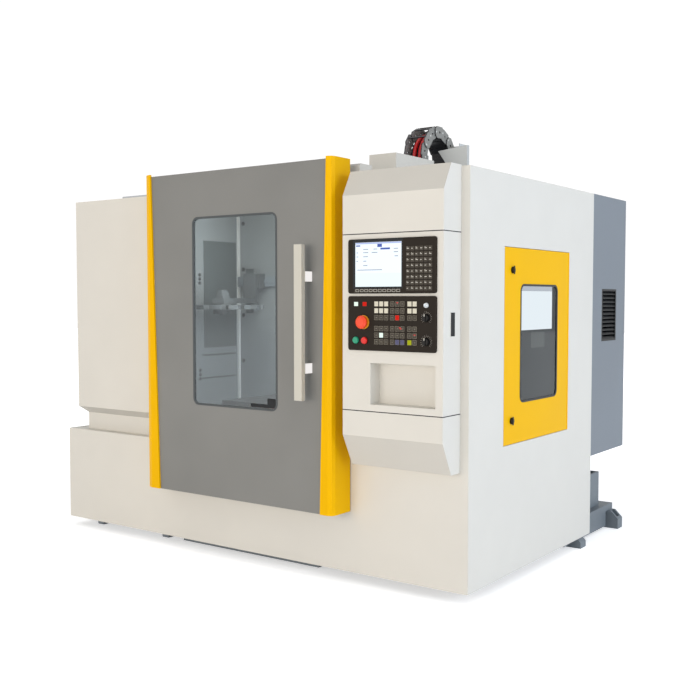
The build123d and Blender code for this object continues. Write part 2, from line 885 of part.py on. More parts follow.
def chain_link(outer, bar_outside, holes):
    """One link centred on its pitch line: two side plates and its crossbars, running along Z.

    Neighbouring links lie inside and outside one another, as their side plates overlap at the pins.
    """
    half_height = chain_height / 2
    reach = chain_pitch / 2 + 14
    corner = 22.0
    outline = [(-half_height, -reach), (half_height, -reach), (half_height, reach), (-half_height, reach)]
    if holes:
        outline = [
            (-half_height, -reach + corner),
            (-half_height + corner, -reach),
            (half_height - corner, -reach),
            (half_height, -reach + corner),
            (half_height, reach - corner),
            (half_height - corner, reach),
            (-half_height + corner, reach),
            (-half_height, reach - corner),
        ]
    shift = 0 if outer else plate_thickness + running
    x = (shift, chain_width - shift)
    plates = along_x(outline, (x[0], x[0] + plate_thickness)) + along_x(outline, (x[1] - plate_thickness, x[1]))
    if holes:
        plates -= Rot(0, 90, 0) * Pos(0, 0, chain_width / 2) * extrude(RegularPolygon(9, 6), amount=chain_width, both=True)
    bar_z = (-crossbar_width / 2, crossbar_width / 2)
    inside = block((x[0] + plate_thickness, x[1] - plate_thickness), (half_height - 8, half_height), bar_z)
    link = plates + inside
    if bar_outside:
        link += block((x[0] + plate_thickness, x[1] - plate_thickness), (-half_height, -half_height + 8), bar_z)
    return link


def drag_chain():
    """Front leg, bend and rear leg, link by link, each turned to its place on the pitch line."""
    links = []
    front_y_line = chain_centre_y - chain_radius
    rear_y_line = chain_centre_y + chain_radius
    for index in range(chain_front_links):
        z = chain_centre_z - chain_pitch * (index + 0.5)
        links.append(Pos(chain_left_x, front_y_line, z) * chain_link(index % 2 == 0, index > 2, False))
    for index in range(chain_links_in_bend):
        turn = 180 * (index + 0.5) / chain_links_in_bend
        angle = radians(turn)
        y = chain_centre_y - chain_radius * cos(angle)
        z = chain_centre_z + chain_radius * sin(angle)
        links.append(Pos(chain_left_x, y, z) * Rot(-turn, 0, 0) * chain_link(index % 2 == 1, index > 0, True))
    for index in range(chain_rear_links):
        z = chain_centre_z - chain_pitch * (index + 0.5)
        links.append(Pos(chain_left_x, rear_y_line, z) * Rot(180, 0, 0) * chain_link(index % 2 == 0, True, False))
    return links


def chain_hoses():
    """Two hoses that lie on the chain's inner crossbars, bent at each link and joint."""
    hoses = []
    bends = 2 * chain_links_in_bend
    radius = chain_radius - chain_height / 2 + 8 + hose_radius + 0.9
    front_end = chain_centre_z - chain_pitch * chain_front_links + 20
    rear_end = chain_centre_z - chain_pitch * chain_rear_links + 20
    for offset in (chain_width * 0.36, chain_width * 0.64):
        x = chain_left_x + offset
        points = [(x, chain_centre_y - radius, front_end)]
        for index in range(bends + 1):
            angle = pi * index / bends
            points.append((x, chain_centre_y - radius * cos(angle), chain_centre_z + radius * sin(angle)))
        points.append((x, chain_centre_y + radius, rear_end))
        section = Plane(points[0], z_dir=(0, 0, 1)) * RegularPolygon(hose_radius, 8)
        hoses.append(sweep(section, path=Polyline(*points), transition=Transition.RIGHT))
    return hoses


channel_wall = 4.0


def chain_arm():
    """Bracket on the headstock with the trough that leads the chain's front leg."""
    side = 4.0
    x = (chain_x[0] - running - channel_wall, chain_x[1] + running + channel_wall)
    leg_front_y = chain_centre_y - chain_radius - chain_height / 2
    trough_y = (leg_front_y - side - channel_wall, leg_front_y + chain_height)
    trough = block(x, trough_y, (1850, 2260))
    trough -= block(grown(x, -channel_wall), (trough_y[0] + channel_wall, trough_y[1] + 1), (1849, 2261))
    flange_edge = z_rail_x + carriage_width / 2
    arm = block((flange_edge, x[1]), (head_rear_y - 30, head_rear_y), (2190, 2250))
    arm += block((x[0], x[1]), (head_rear_y - 1, trough_y[0] + 1), (2190, 2250))
    return arm + trough


def chain_rear_channel():
    """Trough on the column's side for the chain's rear leg, with a wide guard plate above the roof."""
    side = 4.0
    x = (chain_x[0] - running - channel_wall, chain_x[1] + running + channel_wall)
    leg_back_y = chain_centre_y + chain_radius + chain_height / 2
    y = (leg_back_y - chain_height, leg_back_y + side + channel_wall)
    trough = block(x, y, (1960, 2400))
    trough -= block(grown(x, -channel_wall), (y[0] - 1, y[1] - channel_wall), (1959, 2401))
    guard = block((chain_x[0] + 12, chain_x[1] + 91), (y[1] - channel_wall, y[1]), (2399, 2805))
    guard += block((chain_x[1] + 91 - channel_wall, chain_x[1] + 91), (y[1] - 120, y[1]), (2399, 2805))
    guard += block((chain_x[0] + 12, chain_x[1] + 91), (y[1] - channel_wall, y[1]), (2380, 2401))
    bracket = block((column_half_width, x[0] + 1), (y[0], y[0] + 40), (2000, 2060))
    return trough + guard + bracket


panel_end_x = half_width - sheet - seam
opening_right_x = door_right_x - fold
front_panel_right_x = half_width - fold - seam
guide_x = door_left_x + 285.0
guide_right_x = opening_right_x - 85.0
slot_y = (front_y + 7, front_y + 19)
latch_y = side_door_y[0] + 98.0
latch_zs = (959.0, 1826.0)


def front_lower_panel():
    """Folded apron across the whole front, with the ledge and its guide slot for the sliding door."""
    ledge_depth = 100.0
    outline = [
        (front_y + fold, skirt_z),
        (front_y, skirt_z),
        (front_y, ledge_z),
        (front_y + ledge_depth, ledge_z),
        (front_y + ledge_depth, ledge_z - fold),
        (front_y + ledge_depth - sheet, ledge_z - fold),
        (front_y + ledge_depth - sheet, ledge_z - sheet),
        (front_y + sheet, ledge_z - sheet),
        (front_y + sheet, skirt_z + sheet),
        (front_y + fold, skirt_z + sheet),
    ]
    body = along_x(outline, (-panel_end_x, panel_end_x))
    slot_x = (guide_x - door_travel - 6, guide_right_x + guide_width + 6)
    return body - block(slot_x, slot_y, (ledge_z - 2 * sheet, ledge_z + 1))


def front_right_panel():
    """Folded front sheet behind the control box."""
    x = (opening_right_x, front_panel_right_x)
    outline = [
        (x[0], front_y),
        (x[1], front_y),
        (x[1], front_y + fold),
        (x[1] - sheet, front_y + fold),
        (x[1] - sheet, front_y + sheet),
        (x[0] + sheet, front_y + sheet),
        (x[0] + sheet, front_y + fold),
        (x[0], front_y + fold),
    ]
    body = along_z(outline, (ledge_z + seam, panel_top_z))
    return body - block(grown(x, 1), (front_y + sheet, front_y + fold + 1), (roof_z - sheet - seam, panel_top_z + 1))


def front_header():
    """Folded lintel over the front opening."""
    bottom = roof_z - 100
    outline = [
        (front_y, bottom),
        (front_y, roof_z),
        (front_y + sheet, roof_z),
        (front_y + sheet, bottom + sheet),
        (front_y + fold, bottom + sheet),
        (front_y + fold, bottom),
    ]
    return along_x(outline, (tower_right_x + seam, opening_right_x - seam))


def tower_form(inset, overrun):
    """Outside of the left tower: upright walls that step in over a slanted band to a neck."""
    top = roof_z - inset
    foot = ledge_z + seam - overrun
    side = [
        (front_y + neck_recess + inset, foot),
        (side_rear_y + overrun, foot),
        (side_rear_y + overrun, top),
        (front_y + inset, top),
        (front_y + inset, tower_bottom_z),
        (front_y + neck_recess + inset, neck_top_z),
    ]
    front = [
        (tower_left_x + neck_inset + inset, foot),
        (tower_right_x + overrun, foot),
        (tower_right_x + overrun, top),
        (tower_left_x + inset, top),
        (tower_left_x + inset, tower_bottom_z),
        (tower_left_x + neck_inset + inset, neck_top_z),
    ]
    over_x = (tower_left_x - 1, tower_right_x + overrun + 1)
    return along_x(side, over_x) & along_y(front, (front_y - 1, side_rear_y + overrun + 1))


def left_tower():
    """Sheet shell of the tool magazine's tower, open to the work zone, with a folded door jamb."""
    body = tower_form(0, 0) - tower_form(sheet, 10)
    jamb = block((tower_right_x - sheet, tower_right_x), (front_y + 1, front_y + neck_recess + sheet), (tower_bottom_z, roof_z - 1))
    return body + jamb


def left_lower_panel():
    """Folded skirt on the left, with the ledge that runs back beside the tower."""
    outline = [
        (-half_width + fold, skirt_z),
        (-half_width, skirt_z),
        (-half_width, ledge_z),
        (tower_left_x + neck_inset + 30, ledge_z),
        (tower_left_x + neck_inset + 30, ledge_z - sheet),
        (-half_width + sheet, ledge_z - sheet),
        (-half_width + sheet, skirt_z + sheet),
        (-half_width + fold, skirt_z + sheet),
    ]
    body = along_y(outline, (front_y + 100 + seam, side_rear_y))
    cheek = block((-half_width, -half_width + sheet), (front_y, front_y + 101), (skirt_z, ledge_z))
    lug_gap = (lug_front_y - 10, lug_front_y + lug_thickness + 10)
    return body + cheek - block((-half_width + sheet, -half_width + fold + 1), lug_gap, (skirt_z - 1, skirt_z + sheet + 1))


def right_side_panel():
    """Folded tray on the right with the side door's opening and its rebate."""
    x = (half_width - fold, half_width)
    y = (front_y, side_rear_y)
    z = (skirt_z, panel_top_z)
    body = block(x, y, z) - block((x[0] - 1, x[1] - sheet), grown(y, -sheet), grown(z, -sheet))
    corner = (x[0] - 1, x[1] - sheet)
    body -= block(corner, (front_y - 1, front_y + sheet + 1), (skirt_z - 1, ledge_z + seam))
    body -= block(corner, (front_y - 1, front_y + fold + 1), (skirt_z - 1, skirt_z + sheet + 1))
    lug_gap = (lug_front_y - 10, lug_front_y + lug_thickness + 10)
    body -= block((x[0] - 1, x[1] - sheet), lug_gap, (skirt_z - 1, skirt_z + sheet + 1))
    body += block(x, grown(side_door_y, sheet), grown(side_door_z, sheet))
    body -= block((x[0] - 1, x[1] + 1), side_door_y, side_door_z)
    for latch_z in latch_zs:
        body += block((x[1] - 32, x[1] - 28), (side_door_y[0] - 1, latch_y - 34), (latch_z - 20, latch_z + 20))
    return body


roof_cut_x = (-column_half_width - 20, chain_x[1] + 15)
roof_cut_front_y = head_front_y - 20
collar_height = 20.0


def roof_panel():
    """Roof sheets round a collared cut-out for the headstock, the column and the drag chain."""
    x = (tower_right_x + seam, half_width - fold - seam)
    y = (front_y + sheet + seam, side_rear_y)
    body = block(x, y, (roof_z - sheet, roof_z))
    right = chain_x[0] - 15
    step_y = lining_rear_y - 10
    cut = [
        (roof_cut_x[0], roof_cut_front_y),
        (right, roof_cut_front_y),
        (right, step_y),
        (roof_cut_x[1], step_y),
        (roof_cut_x[1], side_rear_y + 1),
        (roof_cut_x[0], side_rear_y + 1),
    ]
    collar_cut = along_z(cut, (roof_z - sheet - 1, roof_z + 50))
    outline = [
        (roof_cut_x[0] - sheet, roof_cut_front_y - sheet),
        (right + sheet, roof_cut_front_y - sheet),
        (right + sheet, step_y - sheet),
        (roof_cut_x[1] + sheet, step_y - sheet),
        (roof_cut_x[1] + sheet, side_rear_y),
        (roof_cut_x[0] - sheet, side_rear_y),
    ]
    body += along_z(outline, (roof_z - 1, roof_z + collar_height))
    body -= collar_cut
    strips = divided(body, 0, roof_cut_x[0], right, right + sheet)
    return [piece for strip in strips for piece in divided(strip, 1, step_y - sheet)]


def rear_panels():
    """Two back sheets, cut to clear the column's flared foot."""
    y = (side_rear_y - sheet, side_rear_y)
    gap = 5.0
    top = roof_z - sheet - seam
    foot = ledge_z + 3
    pieces = []
    tower_end = -tower_left_x - sheet - seam
    panel_end = half_width - fold - seam
    for side, end, low_end in ((-1, tower_end, tower_end - neck_inset), (1, panel_end, panel_end)):
        outline = [
            (side * low_end, foot),
            (side * (column_foot_half_width + gap), foot),
            (side * (column_foot_half_width + gap), 760 + gap),
            (side * (column_half_width + gap), 1150 + gap),
            (side * (column_half_width + gap), top),
            (side * end, top),
            (side * end, tower_bottom_z),
            (side * low_end, neck_top_z),
        ]
        pieces.append(along_y(outline, y))
    return pieces


def header_housing():
    """Long closed housing on the roof behind the sliding door's rail."""
    back = front_y + 198
    outline = [
        (back, roof_z),
        (front_y + 75, roof_z),
        (front_y + 75, roof_z + 80),
        (front_y + 87, roof_z + 92),
        (back, roof_z + 92),
    ]
    x = (tower_right_x + 5, door_right_x + 10)
    inner = [(back - sheet, roof_z - 1), (front_y + 75 + sheet, roof_z - 1), (front_y + 75 + sheet, roof_z + 79)]
    inner += [(front_y + 89, roof_z + 92 - sheet), (back - sheet, roof_z + 92 - sheet)]
    return along_x(outline, x) - along_x(inner, grown(x, -sheet))


def door_top_rail():
    y = (front_y + 20, front_y + 20 + rail_width)
    return block((rail_left_x, opening_right_x), y, (roof_z, roof_z + rail_height))


def chain_guard():
    """Upright hood on the roof around the drag chain's front leg."""
    x = (chain_x[0] - 15, chain_x[1] + 39)
    y = (column_front_y - 450, column_front_y + 50)
    z = (roof_z, roof_z + 297)
    body = block(x, y, z) - block(grown(x, -sheet), grown(y, -sheet), (z[0] - 1, z[1] - sheet))
    leg_y = chain_centre_y - chain_radius - chain_height / 2 - 20
    body -= block(grown(x, -sheet), (leg_y, y[1] + 1), (z[0] - 1, z[1] + 1))
    return body - block((x[0] - 1, x[0] + sheet + running), grown(y, 1), (z[0] - 1, z[0] + collar_height + seam))


def lining():
    """Splash sheets of the work zone: left, rear pair and right with its window tunnel."""
    front = front_y + lining_front_gap
    top = roof_z - sheet - 5
    left = block((-lining_half_width - sheet, -lining_half_width), (front, lining_rear_y), (lining_bottom_z, top))
    rear_y = (lining_rear_y, lining_rear_y + sheet)
    rear_left = block((-lining_half_width - sheet, roof_cut_x[0] - 5), rear_y, (lining_bottom_z, top))
    rear_right = block((roof_cut_x[1], lining_half_width + sheet), rear_y, (lining_bottom_z, top))
    tunnel_y = grown(side_door_y, -20)
    tunnel_z = grown(side_door_z, -20)
    hole = block((lining_half_width - 1, half_width), tunnel_y, tunnel_z)
    right = block((lining_half_width, lining_half_width + sheet), (front, lining_rear_y), (lining_bottom_z, top))
    frame_x = (lining_half_width + sheet, half_width - fold - 4)
    tunnel = block(frame_x, grown(tunnel_y, sheet), grown(tunnel_z, sheet)) - hole
    return left, rear_left, rear_right, right - hole, tunnel


def lining_front():
    """Inner front sheets beside the door opening."""
    front = front_y + lining_front_gap
    top = roof_z - sheet - 5
    left = block((-lining_half_width, tower_right_x), (front + sheet, front + 2 * sheet), (lining_bottom_z, top))
    jamb_y = (front_y + neck_recess + sheet + seam, front + sheet + 1)
    left += block((tower_right_x - sheet, tower_right_x), jamb_y, (ledge_z + 5, top))
    right = block((opening_right_x, lining_half_width), (front + sheet, front + 2 * sheet), (lining_bottom_z, top))
    right += block((opening_right_x, opening_right_x + sheet), (front_y + fold + seam, front + sheet + 1), (ledge_z + 5, top))
    return left, right


def chip_pans():
    """Sloping pans that carry chips and coolant down to the bed."""
    pieces = []
    land = 85.0
    slope_x = bed_half_width - 0.4 * (bed_half_width - y_rail_x - land)
    slope_z = bed_top_z - 200 + 0.4 * 200
    y = (front_y + lining_front_gap, lining_rear_y)
    for side in (-1, 1):
        outline = [
            (side * (slope_x + 0.2), slope_z),
            (side * (slope_x + 0.2), slope_z + sheet),
            (side * (lining_half_width + sheet), lining_bottom_z),
            (side * (lining_half_width + sheet), lining_bottom_z - 2 * sheet),
        ]
        pieces.append(along_y(outline, y))
    return pieces


# Front edge positions of the two door trims, at the door's bottom and top
left_seam_x = (door_left_x + trim_left_strip_bottom, door_left_x + trim_left_strip_top)
right_seam_x = (door_right_x - trim_right_strip_bottom, door_right_x - trim_right_strip_top)
door_back_y = front_y - trim_gap
trim_front_y = door_front_y - trim_rise
door_z = (door_bottom_z, door_top_z)


def door_panel():
    """Grey front sheet of the sliding door, with folded top and bottom edges."""
    outline = [
        (left_seam_x[0], door_z[0]),
        (right_seam_x[0], door_z[0]),
        (right_seam_x[1], door_z[1] - trim_rise),
        (left_seam_x[1], door_z[1] - trim_rise),
    ]
    body = along_y(outline, (door_front_y, door_front_y + sheet))
    width = (door_left_x + sheet + running, door_right_x - sheet - running)
    clear_y = door_front_y + 45
    for bottom in (door_z[0], door_z[1] - trim_rise - sheet):
        body += block(width, (clear_y, door_back_y), (bottom, bottom + sheet))
        middle = (left_seam_x[0] + 10, right_seam_x[0] - 10)
        body += block(middle, (door_front_y + 1, clear_y + 1), (bottom, bottom + sheet))
    window_x = (window_left_x, window_left_x + window_width)
    window_z = (window_bottom_z, window_bottom_z + window_height)
    return body - rounded_front(window_x, window_z, window_corner, (door_front_y - 1, door_front_y + sheet + 1))


def door_trims():
    """Yellow side channels of the door, rounded from the front into the sides."""
    pieces = []
    radius = trim_corner
    step = radius * (1 - cos(radians(45)))
    inner = radius - sheet
    for side, edge, seams in ((-1, door_left_x, left_seam_x), (1, door_right_x, right_seam_x)):
        reach = side * -170
        bend = radius * 0.6 if side < 0 else radius * 0.35
        outer = [
            (edge + reach, trim_front_y),
            (edge - side * bend, trim_front_y),
            (edge - side * bend * 0.29, trim_front_y + bend * 0.29),
            (edge, trim_front_y + bend),
            (edge, door_back_y),
            (edge - side * sheet, door_back_y),
            (edge - side * sheet, trim_front_y + bend),
            (edge - side * (bend * 0.29 + 2), trim_front_y + bend * 0.29 + 2),
            (edge - side * bend, trim_front_y + sheet),
            (edge + reach, trim_front_y + sheet),
        ]
        body = along_z(outer, door_z)
        low, high = seams
        mask = [(edge + side, door_z[0] - 1), (low, door_z[0] - 1), (high, door_z[1] + 1), (edge + side, door_z[1] + 1)]
        body &= along_y(mask, (trim_front_y - 1, door_back_y + 1))
        shift = -side * sheet
        web = [(low, door_z[0]), (low - shift, door_z[0]), (high - shift, door_z[1]), (high, door_z[1])]
        body += along_y(web, (trim_front_y, door_front_y - running))
        pieces.append(body)
    return pieces


def door_gasket():
    x = (window_left_x, window_left_x + window_width)
    z = (window_bottom_z, window_bottom_z + window_height)
    body = rounded_front(x, z, window_corner, (door_front_y - 2, door_front_y + sheet + glass_thickness + 4))
    width = gasket_width
    return body - rounded_front(grown(x, -width), grown(z, -width), window_corner - width, (door_front_y - 3, door_front_y + 30))


def door_window():
    x = grown((window_left_x, window_left_x + window_width), -gasket_width - running)
    z = grown((window_bottom_z, window_bottom_z + window_height), -gasket_width - running)
    return rounded_front(x, z, window_corner - gasket_width, (door_front_y + 3, door_front_y + 3 + glass_thickness))


def door_handle():
    """Flat bar handle on two posts."""
    x = (handle_x - handle_width / 2, handle_x + handle_width / 2)
    front = door_front_y - handle_reach
    body = block(x, (front, front + handle_bar), (handle_bottom_z, handle_top_z))
    for z in post_zs:
        post_x = (handle_x - 10, handle_x - 10 + post_width)
        body += block(post_x, (front + handle_bar - 1, door_front_y), (z - post_height / 2, z + post_height / 2))
    return body


def door_hangers():
    """Roller brackets under the door's top sheet and the guide tongues at its foot."""
    cap_z = door_z[1] - trim_rise - sheet
    rail_y = front_y + 20 + rail_width / 2
    wheel_z = roof_z + rail_height + roller_radius + running
    pieces = []
    for x in (roller_left_x, roller_left_x + roller_pitch):
        bracket = block((x - 40, x + 40), (door_back_y + 10, door_back_y + 18), (roof_z + 8, cap_z))
        bracket += block((x - 40, x + 40), (door_back_y - 40, door_back_y + 18), (cap_z - 8, cap_z))
        bracket += faceted_y(8, x, (door_back_y + 17, rail_y + roller_width / 2 + 5), wheel_z)
        roller = faceted_y(roller_radius, x, (rail_y - roller_width / 2, rail_y + roller_width / 2), wheel_z, 24)
        pieces.append(bracket + roller)
    tongue_y = (slot_y[0] + 3, slot_y[0] + 3 + guide_thickness)
    for x in (guide_x, guide_right_x):
        tongue = block((x, x + guide_width), tongue_y, (ledge_z - 27, ledge_z + 23))
        tongue += block((x, x + guide_width), (door_front_y + sheet, tongue_y[0] + 1), (ledge_z + 15, ledge_z + 23))
        pieces.append(tongue)
    return pieces


def box_profile(inset):
    back = front_y - seam
    return [
        (back, box_back_bottom_z + inset),
        (front_y - box_bottom_proud + inset, box_back_bottom_z + inset),
        (box_front_y + inset, box_bottom_z + inset),
        (box_front_y + inset, box_face_top_z - inset),
        (front_y - box_top_proud + inset, box_back_top_z - inset),
        (back, box_back_top_z - inset),
    ]


tray_x = (box_right_x - 45 - tray_width, box_right_x - 45)
tray_z = (tray_bottom_z, tray_bottom_z + tray_height)
slot_cover_y = (box_front_y + 70, box_front_y + 119)
slot_cover_z = (1460.0, 1593.0)


def control_box():
    """Hollow folded box in three sections, with a tray recess and a card slot on its right side."""
    body = along_x(box_profile(0), (box_left_x, box_right_x))
    body -= along_x(box_profile(sheet), (box_left_x + sheet, box_right_x - sheet))
    tray_y = (box_front_y, box_front_y + tray_depth)
    body += block(grown(tray_x, sheet), (tray_y[0] + 1, tray_y[1] + sheet), grown(tray_z, sheet))
    body -= block(tray_x, (tray_y[0] - 1, tray_y[1]), tray_z)
    for z in (seam_lower_z, seam_upper_z):
        groove = along_x(box_profile(0), (box_left_x - 1, box_right_x + 1)) & block(
            (box_left_x - 1, box_right_x + 1), (box_front_y - 1, front_y), (z - box_seam / 2, z + box_seam / 2)
        )
        core = block((box_left_x + 1, box_right_x - 1), (box_front_y + 1, front_y), (z - box_seam, z + box_seam))
        body -= groove - core
    cover = block((box_right_x - sheet, box_right_x + 3), slot_cover_y, slot_cover_z)
    return body, cover


def bezel(limits, thickness):
    x = (limits[0], limits[1])
    z = (limits[2], limits[3])
    return rounded_front(x, z, bezel_corner, (box_front_y - thickness, box_front_y))


def screen_bezel():
    body = bezel(upper_bezel, bezel_depth)
    glass_x = (screen_area[0], screen_area[1])
    glass_z = (screen_area[2], screen_area[3])
    return body - block(glass_x, (box_front_y - bezel_depth - 1, box_front_y - bezel_depth + 4), glass_z)


def screen_glass():
    x = grown((screen_area[0], screen_area[1]), -running)
    z = grown((screen_area[2], screen_area[3]), -running)
    return block(x, (box_front_y - bezel_depth + 1, box_front_y - bezel_depth + 4), z)


key_face_y = box_front_y - bezel_depth


# Centres of the membrane keys: columns in X, rows in Z
pad_columns = [1398.0 + 27.5 * index for index in range(6)]
pad_rows = [1717.0 + 30.0 * index for index in range(8)]
pad_key = (23.0, 23.0)
soft_columns = [1064.0 + 29.0 * index for index in range(10)]
soft_row = 1706.0
soft_key = (23.0, 14.0)
panel_columns = (1197.0, 1229.0, 1261.0, 1300.0, 1332.0, 1364.0, 1409.0, 1441.0)
panel_rows = (1429.0, 1465.0, 1501.0, 1560.0, 1597.0, 1634.0)
panel_key = (26.0, 27.0)
power_columns = (1063.0, 1120.0)
power_row = 1633.0
power_key = (28.0, 24.0)
key_height = 2.0


def key_grid(columns, rows, size):
    """Flat keys of one size, centred on the given columns and rows."""
    y = (key_face_y - key_height, key_face_y)
    keys = []
    for x in columns:
        for z in rows:
            keys.append(block(grown((x, x), size[0] / 2), y, grown((z, z), size[1] / 2)))
    return keys


def membrane_keys():
    """Low membrane keys of both panels, which bend but do not travel."""
    keys = key_grid(pad_columns, pad_rows, pad_key)
    keys += key_grid(soft_columns, [soft_row], soft_key)
    keys += key_grid(panel_columns, panel_rows, panel_key)
    keys += key_grid(power_columns, [power_row], power_key)
    return keys


control_places = {
    "e_stop": (1111.0, 1534.0),
    "start_button": (1063.0, 1435.0),
    "stop_button": (1120.0, 1434.0),
    "feed_knob": (1512.0, 1561.0),
    "spindle_knob": (1512.0, 1435.0),
    "key_switch": (1512.0, 1627.0),
}
turned_controls = ("feed_knob", "spindle_knob", "key_switch")
shank_radius = 9.0
shank_hole_radius = shank_radius / cos(pi / 12) + running


def operator_panel():
    body = bezel(lower_bezel, bezel_depth)
    depth = (key_face_y - 1, box_front_y + 1)
    for name, (x, z) in control_places.items():
        if name in turned_controls:
            body -= rod_y(shank_hole_radius, x, depth, z)
        else:
            body -= faceted_y(shank_radius + running, x, depth, z, 12)
    return body


def shank(place, face):
    """The part of a control that reaches into its hole in the panel."""
    return faceted_y(shank_radius, place[0], (face, key_face_y + 5), place[1], 12)


def cone(radii, place, y, sides):
    """A many-sided frustum along Y with flat facets, from its front radius to its back radius."""
    rings = []
    for radius, depth in zip(radii, y):
        turns = [2 * pi * (index + 0.5) / sides for index in range(sides)]
        rings.append([(place[0] + radius * cos(turn), depth, place[1] + radius * sin(turn)) for turn in turns])
    outlines = list(rings)
    for index in range(sides):
        after = (index + 1) % sides
        outlines.append([rings[0][index], rings[0][after], rings[1][after], rings[1][index]])
    faces = [Face(Wire.make_polygon([Vector(*point) for point in outline])) for outline in outlines]
    return Solid(Shell(faces))


def push_button(place, radius, height):
    face = key_face_y - button_travel - 1
    body = cone((radius * 0.85, radius), place, (face - height, face), 20)
    return body + shank(place, face - 1)


def mushroom_button(place):
    """Emergency button with a flared rim and a domed cap."""
    face = key_face_y - button_travel - 6
    body = cone((37, 24), place, (face - 8, face), 20)
    body += cone((36, 37), place, (face - 16, face - 8), 20)
    body += cone((24, 36), place, (face - 27, face - 16), 20)
    return body + shank(place, face - 1)


def turn_knob(place, radius, height):
    """Knob with a grip bar across its face."""
    face = key_face_y - 1
    x, z = place
    body = cone((radius * 0.85, radius), place, (face - height, face), 16)
    body += block((x - 4, x + 4), (face - height - 6, face - height + 1), (z - radius * 0.8, z + radius))
    return body + shank(place, face - 1)


def key_barrel(place):
    face = key_face_y - 1
    x, z = place
    body = cone((12, 14), place, (face - 8, face), 12)
    body += block((x - 1.5, x + 1.5), (face - 24, face - 7), (z - 8, z + 8))
    return body + shank(place, face - 1)


hinge_radius = 3.7
hinge_y = side_door_y[1] - hinge_radius - running
latch_radius = 10.0
side_door_x = (half_width - side_door_thickness, half_width)


def side_door():
    y = (side_door_y[0] + door_gap, side_door_y[1] - running)
    z = grown(side_door_z, -door_gap)
    body = block(side_door_x, y, z)
    body -= block((side_door_x[0] - 1, side_door_x[1] - sheet), grown(y, -sheet), grown(z, -sheet))
    body -= rounded_side(side_window_y, side_window_z, window_corner, (side_door_x[0], side_door_x[1] + 1))
    for latch_z in latch_zs:
        body -= rod_x(latch_radius + running, (side_door_x[0], side_door_x[1] + 1), latch_y, latch_z)
    return body + rod_z(hinge_radius, half_width, hinge_y, z)


def side_gasket():
    x = (side_door_x[1] - sheet - glass_thickness - 4, side_door_x[1] + 2)
    body = rounded_side(side_window_y, side_window_z, window_corner, x)
    inner_y = grown(side_window_y, -gasket_width)
    inner_z = grown(side_window_z, -gasket_width)
    return body - rounded_side(inner_y, inner_z, window_corner - gasket_width, grown(x, 1))


def side_window():
    y = grown(side_window_y, -gasket_width - running)
    z = grown(side_window_z, -gasket_width - running)
    x = (side_door_x[1] - 3 - glass_thickness, side_door_x[1] - 3)
    return rounded_side(y, z, window_corner - gasket_width, x)


def side_latch(z):
    """Quarter-turn latch, drawn released: knob outside, shank through the sheet and tongue inside."""
    x = half_width
    body = faceted_x(latch_radius, (x - 40, x + 4), latch_y, z, 12)
    body += faceted_x(19, (x + running, x + 12), latch_y, z, 16)
    body += block((x + 11, x + 15), (latch_y - 6, latch_y + 6), (z - 24, z + 24))
    return body + block((x - 40, x - 36), (latch_y - 8, latch_y + 8), (z - 10, z + 70))


cabinet_x = (860.0, half_width)
cabinet_z = (595.0, panel_top_z)
cabinet_y = (side_rear_y + running, cabinet_rear_y)
cabinet_door_thickness = 25.0
vent_y = (side_rear_y + 166.0, side_rear_y + 438.0)
vent_z = (1369.0, 1729.0)


def electrical_cabinet():
    """Sheet cabinet, open at the back for its door, with a mounting plate and column brackets."""
    wall = 3.0
    back = cabinet_y[1] - cabinet_door_thickness - running
    body = block(cabinet_x, (cabinet_y[0], back), cabinet_z)
    body -= block(grown(cabinet_x, -wall), (cabinet_y[0] + wall, back + 1), grown(cabinet_z, -wall))
    body -= block((half_width - wall - 1, half_width + 1), vent_y, vent_z)
    body += block((cabinet_x[0] + 60, cabinet_x[1] - 60), (cabinet_y[0] + 2, cabinet_y[0] + 22), (cabinet_z[0] + 80, cabinet_z[1] - 80))
    pieces = [body]
    for z in (700.0, 1300.0):
        reach = column_foot_half_width if z < 760 else column_half_width
        pieces.append(block((reach, cabinet_x[0]), (side_rear_y + 10, side_rear_y + 50), (z, z + 50)))
    return pieces


def cabinet_vent():
    """Louvred insert in the cabinet's side."""
    x = (half_width - 12, half_width)
    y = grown(vent_y, -running)
    z = grown(vent_z, -running)
    body = block(x, y, z) - block((x[0] - 1, x[1] + 1), grown(y, -14), grown(z, -14))
    count = 12
    pitch = (z[1] - z[0] - 28) / count
    for index in range(count):
        foot = z[0] + 14 + index * pitch
        blade = [(y[0] + 13, 0), (y[1] - 13, 0)]
        slat = [(x[0], foot + pitch * 0.55), (x[1] - 1, foot + 2), (x[1] - 1, foot + 4), (x[0], foot + pitch * 0.55 + 2)]
        body += along_y(slat, (blade[0][0], blade[1][0]))
    return body


def cabinet_door():
    """Hinged back door of the cabinet, a folded sheet with a quarter-turn lock."""
    y = (cabinet_y[1] - cabinet_door_thickness, cabinet_y[1])
    body = block(cabinet_x, y, cabinet_z) - block(grown(cabinet_x, -sheet), (y[0] - 1, y[1] - sheet), grown(cabinet_z, -sheet))
    lock = faceted_y(14, cabinet_x[0] + 60, (y[1] - sheet - 12, y[1]), (cabinet_z[0] + cabinet_z[1]) / 2)
    return body + lock


tank_outer_clearance = 100.0
tank_bed_clearance = 140.0
tank_front_clearance = 80.0
tank_rear_clearance = 90.0


